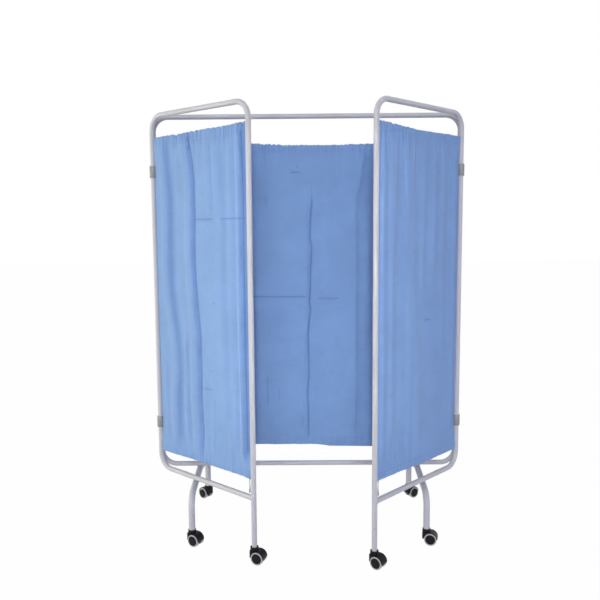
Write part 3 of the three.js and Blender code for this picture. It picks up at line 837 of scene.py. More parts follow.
LEFT_FOLDS = (
    Fold(
        ((81, 1570), (92, 1468), (106, 1350), (98, 1161), (98, 1014), (112, 910), (128, 827),
         (142, 740), (146, 659), (132, 570), (131, 466), (134, 380)),
        11.5, 24, 36, fade=(30, 60), round_line=True, mark=1.0,
    ),
    Fold(((189, 760), (192, 690), (190, 600), (194, 500), (196, 420)), 5.6, 17, 24, fade=(60, 50)),
    Fold(
        ((219, 1578), (226, 1537), (243, 1422), (244, 1257), (238, 1183), (239, 1042), (249, 920),
         (261, 819), (262, 633), (258, 570), (268, 440), (262, 334)),
        12.5, 21, 46, fade=(10, 20), drop=0.6, mark=0.7,
    ),
    Fold(((338, 1560), (338, 1528), (345, 1379), (348, 1320)), 4.0, 14, 20, fade=(20, 60), mark=0.3),
    Fold(
        ((394, 1577), (397, 1450), (411, 1230), (407, 1165), (403, 971), (410, 854), (415, 636),
         (418, 520)),
        4.6, 20, 30, round_line=True, mark=0.5,
    ),
    Fold(
        ((461, 1560), (458, 1266), (462, 1166), (458, 975), (460, 820), (466, 623), (470, 432)),
        4.8, 17, 20, round_line=True, mark=0.5,
    ),
    Fold(
        ((501, 1590), (502, 1444), (503, 1265), (501, 1167), (501, 977), (502, 824), (504, 632),
         (505, 400)),
        13, 11, 34, fade=(20, 40), drop=1.0, flat=True, mark=0.9,
    ),
    Fold(((342, 560), (338, 504), (342, 378)), 3.0, 12, 18, fade=(40, 30)),
    Fold(((60, 640), (64, 520), (62, 400)), 2.8, 12, 18, fade=(60, 40), round_line=True),
    Fold(((300, 640), (304, 520), (300, 380)), 2.6, 14, 20, fade=(60, 40), round_line=True),
    Fold(((438, 640), (436, 500), (440, 380)), 2.4, 12, 16, fade=(60, 40), round_line=True),
)

RIGHT_FOLDS = (
    Fold(((26, 1540), (27, 898), (31, 681), (33, 400)), 4.0, 14, 24, lean=-1, fade=(60, 60),
         round_line=True, mark=1.6),
    Fold(((98, 1540), (101, 1071), (103, 830)), 2.9, 18, 30, lean=-1, fade=(60, 120), round_line=True),
    Fold(((170, 1560), (160, 1300), (168, 1100)), 2.7, 18, 26, lean=-1, fade=(30, 120), round_line=True),
    Fold(((226, 1566), (229, 1505), (232, 1400), (238, 1050)), 3.7, 20, 34, lean=-1, fade=(20, 160),
         round_line=True),
    Fold(
        ((300, 1580), (304, 1350), (296, 1180), (290, 965), (278, 860), (262, 758), (252, 600), (248, 400)),
        6.0, 30, 52, lean=-1, fade=(40, 60), round_line=True,
    ),
    Fold(((345, 1540), (340, 1330), (348, 1140)), 2.7, 16, 26, lean=-1, fade=(40, 100), round_line=True),
    Fold(((391, 1590), (388, 1550), (385, 1512)), 2.9, 6, 12, lean=-1, fade=(5, 25), soft=5, mark=0.8),
    Fold(((413, 1560), (415, 1370), (428, 900), (420, 500)), 3.8, 20, 34, lean=-1, fade=(20, 70),
         round_line=True),
    Fold(((360, 900), (352, 700), (356, 420)), 2.9, 20, 30, fade=(160, 50), round_line=True),
    Fold(((468, 1590), (470, 1300), (466, 900), (470, 400)), 2.7, 14, 22, fade=(20, 40), round_line=True),
    Fold(((516, 1590), (517, 1400), (516, 978), (517, 700), (517, 400)), 5.6, 21, 14, fade=(20, 40)),
)

CENTRE_LINE = (
    (19, 1483), (22, 1353), (14, 1260), (12, 1188), (19, 1150), (18, 1113), (13, 1060), (12, 972),
    (8, 924), (13, 891), (7, 840), (2, 781), (4, 700), (5, 616), (0, 560), (-1, 538), (2, 450),
    (1, 350),
)
CENTRE_FOLDS = (
    Fold(((-528, 1540), (-532, 900), (-526, 340)), 5.0, 26, 40, lean=-1, round_line=True),
    Fold(((-440, 1540), (-446, 900), (-438, 340)), 5.4, 24, 44, round_line=True),
    Fold(((-348, 1540), (-352, 900), (-344, 340)), 4.8, 24, 40, lean=-1, round_line=True),
    Fold(((-262, 1540), (-266, 900), (-262, 340)), 4.0, 24, 40, round_line=True),
    Fold(((-120, 1540), (-126, 1200), (-112, 800), (-120, 340)), 2.6, 34, 50, round_line=True),
    Fold(CENTRE_LINE[1:], 7.5, 6, 12, fade=(60, 15), soft=3, drop=0.8, mark=1.0),
    Fold(CENTRE_LINE, 4.6, 80, 120, fade=(60, 30), soft=60, round_line=True),
    Fold(
        ((228, 1500), (214, 1400), (200, 1351), (198, 1269), (203, 1230), (201, 970), (201, 683),
         (200, 448), (197, 339)),
        -6.6, 34, 44, lean=-1, fade=(30, 15), soft=8, mark=0.25,
    ),
    Fold(((110, 1540), (112, 1380), (104, 1200), (110, 900)), 2.6, 26, 34, round_line=True, fade=(60, 120)),
    Fold(((352, 1540), (348, 900), (352, 340)), 4.8, 26, 40, lean=-1, round_line=True),
    Fold(((446, 1540), (440, 900), (444, 340)), 5.2, 26, 44, round_line=True),
    Fold(((532, 1540), (528, 900), (534, 340)), 4.8, 24, 40, lean=-1, round_line=True),
)

# Sharp little creases left by packing: (height, from, to, depth), and (u, from, to, depth) upright
LEFT_CREASES = (
    (1262, 236, 350, 1.3), (1263, 388, 524, 1.4), (948, 335, 357, 1.0), (683, 312, 334, 0.9),
    (612, 262, 333, 1.1),
)
LEFT_UPRIGHTS = (
    (222, 1508, 1620, 2.6), (217, 1540, 1620, 2.3), (227, 1546, 1620, 2.2), (145, 1556, 1620, 1.8),
    (352, 1560, 1620, 1.4), (92, 1566, 1620, 1.4), (430, 1566, 1620, 1.3), (505, 1548, 1620, 2.2),
    (512, 1516, 1620, 2.4), (519, 1490, 1620, 2.4),
)
RIGHT_CREASES = ((872, 196, 244, 1.2),)
CENTRE_CREASES = (
    (1449, -72, -24, 1.4), (1470, -48, -30, 0.9), (945, -240, -2, 1.3), (936, 40, 132, 1.2),
)
CENTRE_UPRIGHTS = (
    (-169, 470, 630, 1.2), (-121, 500, 575, 1.0), (-24, 385, 455, 1.4), (-166, 1300, 1370, 1.0),
)

# Where the edges of the frills and of the hems run: (u, height)
LEFT_TOP = ((8, 1585), (82, 1588), (173, 1589), (288, 1592), (397, 1594), (475, 1597), (530, 1601))
LEFT_FOOT = ((10, 308), (151, 310), (243, 313), (360, 314), (443, 314), (530, 307))
RIGHT_TOP = ((3, 1581), (69, 1584), (152, 1582), (252, 1580), (316, 1583), (389, 1588), (454, 1592),
             (530, 1597))
RIGHT_FOOT = ((10, 307), (117, 306), (223, 306), (324, 308), (419, 313), (530, 317))
CENTRE_TOP = ((-604, 1566), (-207, 1565), (-103, 1559), (54, 1556), (134, 1559), (267, 1562),
              (604, 1565))
CENTRE_FOOT = ((-604, 321), (-217, 321), (36, 320), (70, 317), (95, 312), (272, 309), (604, 311))

# Dips in the edge of each frill: (u, depth, width)
LEFT_NOTCHES = ((150, 4, 4), (166, 3.5, 3), (222, 4, 4), (238, 2.5, 3), (352, 2.5, 4), (430, 2, 3))
RIGHT_NOTCHES = ((391, 3, 4), (345, 2.5, 4), (288, 6, 5), (251, 7, 5), (133, 3, 4), (60, 2, 4))
CENTRE_NOTCHES = ((-105, 4, 5), (50, 2, 5))


class Cloth:
    """One curtain: where it hangs, its folds and creases, and how its edges run."""

    def __init__(self, panel, plane, edges, top, foot, folds, creases, uprights, notches, seed,
                 painted_gather_shade):
        self.panel, self.plane, self.edges = panel, plane, edges
        self.width = edges[1] - edges[0]
        self.top, self.foot = (np.array(line) * MM + (0, CLOTH_LEVEL) for line in (top, foot))
        self.folds, self.notches, self.painted_gather_shade = folds, notches, painted_gather_shade
        self.creases = [(height * MM + CLOTH_LEVEL, start * MM, end * MM, size)
                        for height, start, end, size in creases]
        self.uprights = [(place * MM, low * MM + CLOTH_LEVEL, high * MM + CLOTH_LEVEL, size)
                         for place, low, high, size in uprights]
        self.chance = np.random.default_rng(seed)
        self.top_rod = middle_height(f"{panel}_top_rod")
        self.bottom_rod = middle_height(f"{panel}_bottom_rod")
        self.gathers = self.draw_gathers()
        self.waves = self.chance.uniform(0, 2 * math.pi, (12, 3))

    def draw_gathers(self):
        """Small pleats where the cloth is pushed together: place, size, width, reach and slant."""
        place, end = self.edges
        pleats = []
        while place < end:
            place += self.chance.uniform(9, 26) * MM
            size = self.chance.uniform(1.2, 3.6) * MM * self.chance.choice((-1, 1))
            width = self.chance.uniform(2.6, 6.0) * MM
            reach = self.chance.uniform(20, 70) * MM * self.chance.choice((1, 1, 2.6))
            pleats.append((place, size, width, reach, self.chance.uniform(-0.12, 0.12)))
        return pleats

    def unevenness(self, u, z):
        """Slow, soft waves all over the cloth, from -1 to 1."""
        total = np.zeros(np.broadcast(u, z).shape)
        for index, (first, second, third) in enumerate(self.waves):
            across = (0.14 + 0.018 * index) * (1.4 if index % 2 else 0.7)
            down = 0.5 + 0.12 * ((index * 5) % 7)
            lean = math.sin(third)
            total += np.sin(2 * math.pi * (u / across + lean * z / down) + first) * np.sin(
                2 * math.pi * z / (1.6 * down) + second
            )
        return total / 4

    def pucker(self, u, z):
        """The pleats at both rods and the little ripples along the seams."""
        total = np.zeros(np.broadcast(u, z).shape)
        below = np.maximum(self.top_rod - z, 0)
        above = np.maximum(z - self.bottom_rod, 0)
        for place, size, width, reach, slant in self.gathers:
            hang = np.exp(-below / reach) * size
            total += hang * bell(u - place - slant * below, width * (1 + below / GATHER_SPREAD))
            rise = np.exp(-above / (reach * 0.6)) * size * 0.5
            wide = width * 1.2 * (1 + above / GATHER_SPREAD)
            total += rise * bell(u - place - GATHER_SHIFT + slant * above, wide)
        ripple = SEAM_RIPPLE * np.sin(2 * math.pi * (u / SEAM_RIPPLE_LENGTH + np.sin(u / 0.041)))
        for seam in (self.top_rod - SEAM_DROP, self.bottom_rod + SEAM_DROP):
            total += ripple * bell(z - seam, SEAM_RIPPLE_REACH)
        return total

    def shape(self, u, z, fold_share, unevenness):
        """How far the cloth stands out of its plane."""
        depth = sum(fold.form(u, z) for fold in self.folds)
        for height, start, end, size in self.creases:
            groove = CREASE_DEPTH * size * MM * within(u, start, end, CREASE_END)
            depth = depth - groove * bell(z - height, CREASE_SPREAD)
        for place, low, high, size in self.uprights:
            groove = size * MM * within(z, low, high, UPRIGHT_END)
            depth = depth - groove * bell(u - place, UPRIGHT_SPREAD)
        held = 1 - TOP_HOLD * bell(z - self.top_rod, TOP_HOLD_REACH)
        held = held - BOTTOM_HOLD * bell(z - self.bottom_rod, BOTTOM_HOLD_REACH)
        waves = unevenness * self.unevenness(u, z)
        stand = held * (fold_share * depth + waves) + self.pucker(u, z) + self.rod_front(z)
        return FOLD_LIMIT * np.tanh(stand / FOLD_LIMIT)

    def painted_crease_shade(self, u, z):
        """How much shade is painted into the cloth's colour at sharp creases, gathers and fold hollows, from 0 to
        1.
        """
        total = np.zeros(np.broadcast(u, z).shape)

        def shade(strength, away, window, width=PAINTED_SHADE_WIDTH):
            np.maximum(total, strength * window * bell(away, width), out=total)

        for fold in self.folds:
            window = within(z, fold.heights[0] - 10 * MM, fold.heights[-1], UPRIGHT_END)
            past = fold.lean * (u - fold.at(z))
            if fold.round_line:
                shade(ROUND_PAINTED_SHADE * fold.mark, past, window, 0.4 * fold.far)
                continue
            shade(fold.mark, past, window)
            # A flat fold's low hollow beside the leg gets a band of painted shade as well
            if fold.flat:
                outside = np.maximum(-past, 0) + np.maximum(past - fold.far, 0)
                shade(FLAT_PAINTED_SHADE * fold.mark, outside, window)
        for height, start, end, size in self.creases:
            shade(min(size / FULL_CREASE, 1), z - height, within(u, start, end, CREASE_END))
        for place, low, high, size in self.uprights:
            shade(size / FULL_UPRIGHT, u - place, within(z, low, high, UPRIGHT_END))
        # Painted shade along each gather, fading away from its rod
        below = np.maximum(self.top_rod - SEAM_DROP / 2 - z, 0)
        above = np.maximum(z - self.bottom_rod - SEAM_DROP / 2, 0)
        for place, size, _, reach, slant in self.gathers:
            strength = self.painted_gather_shade * abs(size) / FULL_GATHER
            shade(strength, u - place - slant * below, np.exp(-2.5 * below / reach))
            shifted = u - place - GATHER_SHIFT + slant * above
            shade(0.7 * strength, shifted, np.exp(-4 * above / reach))
        return total

    def rod_front(self, z):
        """The single layer hangs from the front of its top rod and comes back to the middle below."""
        below = np.maximum(self.top_rod - 8 * MM - z, 0)
        above = step_up((self.top_rod - 2 * MM - z) / (14 * MM))
        low = np.exp(-(np.maximum(z - self.bottom_rod - 6 * MM, 0)) / (60 * MM))
        front = ROD_FRONT * (np.exp(-below / ROD_FRONT_REACH) + 0.7 * low)
        return front * above * step_up((z - self.bottom_rod) / (12 * MM))

    def edge(self, index, z):
        """The upright edges, which draw in where a hinge strap stands beside them."""
        inward = 1 if index == 0 else -1
        drawn = np.zeros_like(z)
        if self.panel == "centre" or index == 0:
            for level in ("lower", "upper"):
                away = np.abs(z - middle_height(f"left_{level}_hinge_strap"))
                drawn = drawn + step_up((STRAP_REACH + STRAP_HALF - away) / STRAP_REACH)
        wander = EDGE_WANDER * (1 + np.sin(z / 0.083 + index) * np.sin(z / 0.031))
        strap = STRAP_CLEARANCE / 2 if self.panel == "centre" else STRAP_CLEARANCE
        return self.edges[index] + inward * (drawn * strap + wander)

    def top_edge(self, u):
        height = np.interp(u, self.top[:, 0], self.top[:, 1])
        for place, size, width, _, _ in self.gathers:
            height = height - abs(size) * 1.5 * bell(u - place, width * 0.8)
        for place, depth, width in self.notches:
            height = height - depth * MM * bell(u - place * MM, width * MM)
        return height + EDGE_WANDER * np.sin(u / 0.0131) * np.sin(u / 0.047)

    def foot_edge(self, u):
        height = np.interp(u, self.foot[:, 0], self.foot[:, 1])
        return height + EDGE_WANDER * np.sin(u / 0.019 + 1) * np.sin(u / 0.061)


def pocket(z, rod):
    """Half the thickness of the double cloth, which bulges round the rod."""
    return FRILL_HALF + (POCKET_HALF - FRILL_HALF) * bell(z - rod, POCKET_SPREAD)


def cloth_rows(cloth, top, foot):
    """Rows of the folded sheet from its turned top edge round to its hem.

    Each row: its heights, its side (1 front, -1 back, 0 a turned edge), its half thickness, and
    how far it lies from the nearest seam in millimetres.
    """
    top_seam, foot_seam = cloth.top_rod - SEAM_DROP, cloth.bottom_rod + SEAM_DROP
    near_seam = (0, 2 * MM, 6 * MM)
    near_rod = np.array((-7.5, -5, -2.6, 0, 2.6, 5, 7.5)) * MM
    flat = np.ones_like(top)
    header = [(top_seam + step) * flat for step in near_seam]
    header += [(cloth.top_rod + step) * flat for step in near_rod]
    start = cloth.top_rod + near_rod[-1]
    header += [start + (top - start) * share for share in (0.4, 0.75, 0.93)]
    hem = [(foot_seam - step) * flat for step in near_seam]
    hem += [(cloth.bottom_rod - step) * flat for step in near_rod[1:]]
    start = cloth.bottom_rod - near_rod[-1]
    hem += [start + (foot - start) * share for share in (0.5, 0.85)]

    def layer(lines, side, rod, seam):
        for heights in lines:
            away = np.abs(heights - seam)
            half = np.where(away < 1 * MM, SEAM_HALF, pocket(heights, rod))
            yield heights, side, half, float(away.min() / MM)

    rows = [((top_seam - TURN_IN) * flat, -1, TURN_IN_HALF * flat, TURN_IN / MM)]
    rows += layer(header, -1, cloth.top_rod, top_seam)
    rows.append((top, 0, 0 * flat, FAR_FROM_SEAM))
    rows += layer(reversed(header), 1, cloth.top_rod, top_seam)
    rows += body_rows(cloth, top_seam, foot_seam, flat)
    rows += layer(hem, 1, cloth.bottom_rod, foot_seam)
    rows.append((foot, 0, 0 * flat, FAR_FROM_SEAM))
    rows += layer(reversed(hem), -1, cloth.bottom_rod, foot_seam)
    rows.append(((foot_seam + TURN_IN) * flat, -1, TURN_IN_HALF * flat, TURN_IN / MM))
    return rows


def body_rows(cloth, top_seam, foot_seam, flat):
    """The single layer between the seams, with extra rows at the packing creases."""
    start, end = top_seam - 2 * MM, foot_seam + 2 * MM
    count = round((start - end) / ROW_PITCH)
    heights = list(np.linspace(start, end, count + 1))
    heights += [start - step * MM for step in (3, 12, 20)]
    for height, _, _, _ in cloth.creases:
        close = [height + step * CREASE_SPREAD for step in (-1.8, -0.8, 0, 0.8, 1.8)]
        heights = [z for z in heights if abs(z - height) > 2.3 * CREASE_SPREAD] + close
    rows = []
    for z in sorted(heights, reverse=True):
        away = min(abs(z - top_seam), abs(z - foot_seam)) / MM
        rows.append((z * flat, 1, 0 * flat, away))
    return rows


def cloth_columns(cloth, z):
    """Where each column runs at each height, with one column on the line of every crisp fold."""
    start, end = cloth.edge(0, z), cloth.edge(1, z)
    count = round(cloth.width / COLUMN_PITCH)
    crisp = [fold for fold in cloth.folds if not fold.round_line]
    pins, places = [0.0], [start]
    for fold in sorted(crisp, key=lambda fold: fold.places.mean()):
        share = round((fold.places.mean() - cloth.edges[0]) / cloth.width * count) / count
        if share - pins[-1] < 3 / count or share > 1 - 1.5 / count:
            continue
        pins.append(share)
        places.append(fold.at(z))
    pins.append(1.0)
    places.append(end)
    shares = np.arange(count + 1) / count
    return np.array([np.interp(shares, pins, row) for row in np.transpose(places)]), shares


def curtain_surface(cloth, settings):
    """Points of the sheet in rows and columns, its own coordinates, seam distances and the shade painted into its
    creases.
    """
    even = np.linspace(*cloth.edges, round(cloth.width / COLUMN_PITCH) + 1)
    rows = cloth_rows(cloth, cloth.top_edge(even), cloth.foot_edge(even))
    z, side, thick, seam = (np.array(part) for part in zip(*rows))
    side = side[:, None]
    u, shares = cloth_columns(cloth, z.mean(axis=1))
    stand = cloth.shape(u, z, settings.fold_share, settings.unevenness)
    for rod in (cloth.top_rod, cloth.bottom_rod):
        clear = arc(ROD_RADIUS + ROD_CLEARANCE, z - rod)
        front = np.maximum(stand + thick, clear)
        back = np.minimum(stand - thick, -clear)
        pushed = np.where(side > 0, front - thick, np.where(side < 0, back + thick, stand))
        stand = np.where(clear > 0, pushed, stand)
    points = cloth.plane.place(u, z, stand + side * thick)
    steps = np.linalg.norm(np.diff(points, axis=0), axis=2).mean(axis=1)
    down = np.concatenate([[0], np.cumsum(steps)])
    own = np.stack(np.broadcast_arrays(shares * cloth.width, down[:, None]), axis=2)
    return points, own, {"seam_distance": seam[:, None], "painted_shade": cloth.painted_crease_shade(u, z)}


def sheet_mesh(name, points, own, marks):
    """A sheet from points in rows and columns, with its own coordinates and what marks its points."""
    size = points.shape[:2]
    grid = np.arange(size[0] * size[1]).reshape(size)
    corners = (grid[:-1, :-1], grid[:-1, 1:], grid[1:, 1:], grid[1:, :-1])
    faces = np.stack([corner.ravel() for corner in corners], axis=1)
    mesh = bpy.data.meshes.new(name)
    mesh.from_pydata(points.reshape(-1, 3).tolist(), [], faces.tolist())
    mesh.shade_smooth()
    layer = mesh.uv_layers.new(name="cloth")
    layer.data.foreach_set("uv", own.reshape(-1, 2)[faces.ravel()].ravel())
    for key, values in marks.items():
        attribute = mesh.attributes.new(key, "FLOAT", "POINT")
        attribute.data.foreach_set("value", np.broadcast_to(values, size).ravel())
    return mesh


def thicken(sheet, thickness):
    """Gives a sheet its thickness, half of it to each side."""
    layer = sheet.modifiers.new("thickness", "SOLIDIFY")
    layer.thickness = thickness
    layer.offset = 0


def clothes():
    """The three curtains, each between the inner sides of its tubes."""
    side_gap = TUBE_RADIUS + CLOTH_TUBE_GAP
    wing_edges = (side_gap, WING_WIDTH - side_gap)
    centre_edges = (side_gap - HALF_WIDTH, HALF_WIDTH - side_gap)
    # The last argument of each curtain is how darkly shade is painted along its gathers
    return (
        Cloth("left_wing", wing_plane("left"), wing_edges, LEFT_TOP, LEFT_FOOT, LEFT_FOLDS,
              LEFT_CREASES, LEFT_UPRIGHTS, LEFT_NOTCHES, seed=11, painted_gather_shade=1.3),
        Cloth("right_wing", wing_plane("right"), wing_edges, RIGHT_TOP, RIGHT_FOOT, RIGHT_FOLDS,
              RIGHT_CREASES, (), RIGHT_NOTCHES, seed=23, painted_gather_shade=0.5),
        Cloth("centre", centre_plane(), centre_edges, CENTRE_TOP, CENTRE_FOOT, CENTRE_FOLDS,
              CENTRE_CREASES, CENTRE_UPRIGHTS, CENTRE_NOTCHES, seed=37, painted_gather_shade=0.45),
    )


def add_curtains():
    settings = bpy.context.scene.ward_screen_curtains
    colour = tuple(settings.cloth_colour)
    cotton = finish_named("woven_cotton", lambda: woven_cotton("woven_cotton", colour, settings))
    dark = tinted(colour, TAPE_SHADE)
    tape = finish_named("cotton_tape", lambda: woven_cotton("cotton_tape", dark, settings))
    for cloth in clothes():
        body = panel_body(cloth.panel)
        name = f"{cloth.panel}_curtain_cloth"
        points, own, marks = curtain_surface(cloth, settings)
        curtain = piece(name, sheet_mesh(name, points, own, marks), cotton, body)
        thicken(curtain, settings.thickness)
        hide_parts(f"{cloth.panel}_curtain")
        tails = [] if cloth.panel == "centre" else [tape_tail(cloth, tape, body, settings)]


def tape_tail(cloth, tape, body, settings):
    """A short end of tape that hangs from the hem beside the front leg."""
    u = cloth.edges[1] - 3 * MM
    top, foot = cloth.bottom_rod + 4 * MM, cloth.bottom_rod - settings.tail_drop
    share = np.linspace(0, 1, TAPE_STEPS + 1)[:, None]
    z = top + (foot - top) * share
    stand = 5.2 * MM * np.minimum(share * 4, 1) - 1.5 * MM * share + 0.8 * MM * np.sin(7 * share)
    lean = -2.0 * MM * share
    twist = 0.5 * np.sin(4 * share)
    across = np.array((-TAPE_HALF, 0.0, TAPE_HALF))
    points = cloth.plane.place(u + lean + across * np.cos(twist), z, stand + across * np.sin(twist))
    own = np.stack(np.broadcast_arrays(across + TAPE_HALF, top - z), axis=2)
    name = f"{cloth.panel}_tape_tail"
    mesh = sheet_mesh(name, points, own, {"seam_distance": FAR_FROM_SEAM})
    tail = piece(name, mesh, tape, body)
    thicken(tail, TAPE_THICKNESS)
    return tail


# Hinges


def strap_outline():
    """Half turns round both tubes with a narrower bridge between them, as (x, y) points."""
    spots = np.linspace(STRAP_CENTRE_RADIUS, -HINGE_SPACING - STRAP_WING_RADIUS, STRAP_SPOTS)
    centre = arc(STRAP_CENTRE_RADIUS, spots)
    wing = arc(STRAP_WING_RADIUS, spots + HINGE_SPACING)
    between = (spots < 0) & (spots > -HINGE_SPACING)
    half = np.maximum(np.maximum(centre, wing), np.where(between, TUBE_RADIUS, 0))
    window = np.hanning(STRAP_SOFTNESS) / np.hanning(STRAP_SOFTNESS).sum()
    soft = np.convolve(np.pad(half, STRAP_SOFTNESS // 2, mode="edge"), window, mode="valid")
    half = np.where(between, soft, half)
    right = np.stack([half, spots], axis=1)
    line = np.vstack([right, right[-2:0:-1] * (-1, 1)])
    lengths = np.concatenate([[0], np.cumsum(np.linalg.norm(np.diff(line, axis=0), axis=1))])
    even = np.linspace(0, lengths[-1], STRAP_POINTS + 1)[:-1]
    return np.stack([np.interp(even, lengths, line[:, axis]) for axis in (0, 1)], axis=1)


def hinge_strap(place_x, height):
    outline = strap_outline()
    along = ring_tangents(outline)
    inward = np.stack([along[:, 1], -along[:, 0]], axis=1)
    if np.sum(inward * (outline - outline.mean(axis=0))) > 0:
        inward = -inward
    rings = []
    for level, inset in ((-1, 1), (-0.985, 0.35), (-0.965, 0), (0.965, 0), (0.985, 0.35), (1, 1)):
        ring = outline + inward * STRAP_EDGE * inset
        tall = np.full((len(ring), 1), height + level * STRAP_HALF)
        rings.append(np.hstack([ring + (place_x, CENTRE_Y), tall]))
    return Surface().loft(np.array(rings))


def add_hinges():
    settings = bpy.context.scene.ward_screen_hinges
    nylon_colour = tuple(settings.nylon_colour)
    nylon = finish_named("moulded_nylon", lambda: moulded_plastic("moulded_nylon", nylon_colour, 0.5))
    for side, place_x in (("left", -HALF_WIDTH), ("right", HALF_WIDTH)):
        for level in ("lower", "upper"):
            name = f"{side}_{level}_hinge"
            height = middle_height(f"{name}_strap")
            strap = hinge_strap(place_x, height).mesh(f"{name}_strap_band")
            body = node_body(f"{name}_strap")
            band = piece(f"{name}_strap_band", strap, steel(), body)
            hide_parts(f"{name}_strap")
            add_bush(name, place_x, height, nylon)
            add_screw(name, place_x, height, 1 if place_x > 0 else -1)


def add_bush(name, place_x, height, nylon):
    upper = [
        (BUSH_OUTER, BUSH_HALF - BUSH_EDGE),
        (BUSH_OUTER - BUSH_EDGE, BUSH_HALF),
        (BUSH_INNER, BUSH_HALF),
    ]
    outline = [(radius, -level) for radius, level in reversed(upper)] + upper
    origin = (place_x, CENTRE_Y - HINGE_SPACING, height)
    surface = Surface().turned(outline, origin, UP, loop=True)
    sleeve = piece(f"{name}_bush_sleeve", surface.mesh(f"{name}_bush_sleeve"), nylon,
                   node_body(f"{name}_bush"))
    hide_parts(f"{name}_bush")


def add_screw(name, place_x, height, side):
    seat = STRAP_CENTRE_RADIUS + SCREW_GAP
    head, rim, top = SCREW_HEAD_RADIUS, seat + SCREW_RIM, seat + SCREW_HEAD_HEIGHT
    outline = [(0, SCREW_START), (SCREW_SHANK, SCREW_START), (SCREW_SHANK, seat), (head, seat)]
    for angle in math.pi / 14 * np.arange(6):
        outline.append((head * math.cos(angle), rim + (top - rim) * math.sin(angle)))
    outline += [(SCREW_SOCKET, top), (SCREW_SOCKET * 0.9, seat + 0.9 * MM), (0, seat + 0.7 * MM)]
    surface = Surface().turned(outline, (place_x, CENTRE_Y, height), (side, 0, 0), segments=40)
    dark = tuple(bpy.context.scene.ward_screen_hinges.screw_colour)
    finish = finish_named("dark_steel", lambda: plated_steel(dark, "dark_steel"))
    screw = piece(f"{name}_screw_round", surface.mesh(f"{name}_screw_round"), finish,
                  node_body(f"{name}_screw"))
    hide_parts(f"{name}_screw")


# Casters


def quarter(centre, radius, start, steps):
    """The points of a quarter turn that follow its start, going clockwise."""
    angles = start - math.pi / 2 * np.arange(1, steps + 1) / steps
    return [(centre[0] + radius * math.cos(angle), centre[1] + radius * math.sin(angle))
            for angle in angles]


def hood_outline():
    """The hood from the foot of its chin over the top to the end of its rear arch: (x, z)."""
    top = AXLE_HEIGHT + HOOD_RADIUS
    chin_top, shoulder_x = top - HOOD_SHOULDER, HOOD_SHOULDER - HOOD_CHIN
    points = [(-HOOD_CHIN, z) for z in np.linspace(AXLE_HEIGHT, chin_top, HOOD_STEPS)]
    points += quarter((shoulder_x, chin_top), HOOD_SHOULDER, math.pi, HOOD_STEPS)
    points += [(x, top) for x in np.linspace(shoulder_x, TRAIL, HOOD_STEPS)[1:]]
    points += quarter((TRAIL, AXLE_HEIGHT), HOOD_RADIUS, math.pi / 2, 3 * HOOD_STEPS)
    return np.array(points)


def edge_inset(y, radius):
    """How far a rounded edge of the hood's side draws in at a distance from the middle plane."""
    return radius - arc(radius, max(abs(y) - HOOD_HALF + radius, 0))


def hood_limits(y):
    """How far the hood reaches forwards and back at a distance from its middle plane."""
    front, rear = (edge_inset(y, size) for size in (HOOD_FRONT_ROUND, HOOD_REAR_ROUND))
    return front - HOOD_CHIN, TRAIL + HOOD_RADIUS - rear


def hood_section(y):
    """The hood's outer line and its wheel pocket's line at one distance from the middle."""
    front, rear = hood_limits(y)
    centre = np.array((TRAIL, AXLE_HEIGHT))
    outer = hood_outline()
    outer = outer + unit(centre - outer) * edge_inset(y, HOOD_EDGE)
    outer[:, 0] = np.clip(outer[:, 0], front, rear)
    keep = POCKET_RADIUS + HOOD_LIP
    front_rise, rear_rise = arc(keep, TRAIL - front), arc(keep, rear - TRAIL)
    beside_wheel = abs(y) > WEB_HALF
    lowest = np.where(outer[:, 0] < TRAIL, front_rise, rear_rise) * beside_wheel
    outer[:, 1] = np.maximum(outer[:, 1], AXLE_HEIGHT + lowest)
    start = math.atan2(front_rise, front - TRAIL)
    end = math.atan2(rear_rise, rear - TRAIL)
    angles = np.linspace(start, end, len(outer))
    inner = centre + POCKET_RADIUS * np.stack([np.cos(angles), np.sin(angles)], axis=1)
    return outer, inner


def strip(first, second):
    """The faces between two rows of corners."""
    return list(zip(first, first[1:], second[1:], second))


def hood_shell(surface):
    """The rounded hood with its web in the middle and a wheel pocket on each side of it."""
    half = len(HOOD_STATIONS)
    stations = [-y * MM for y in reversed(HOOD_STATIONS)] + [y * MM for y in HOOD_STATIONS]
    lines = [[], []]
    for y in stations:
        for line, section in zip(lines, hood_section(y)):
            line.append([(x, y, z) for x, z in section])
    points = np.array(lines)
    skin, hollow = np.arange(points[..., 0].size).reshape(points.shape[:3]).tolist()
    left, right, end = half - 1, half, len(stations) - 1
    faces = strip(skin[0], hollow[0]) + strip(skin[end], hollow[end])
    for row in range(end):
        faces += strip(skin[row], skin[row + 1])
        if row != left:
            faces += strip(hollow[row], hollow[row + 1])
            for column in (0, -1):
                faces.append((skin[row][column], skin[row + 1][column],
                              hollow[row + 1][column], hollow[row][column]))
    web = [(skin[row][0], hollow[row][0], hollow[row][-1], skin[row][-1]) for row in (left, right)]
    faces += strip(*web)
    faces += [hollow[left], hollow[right]]
    surface.add(points, faces)


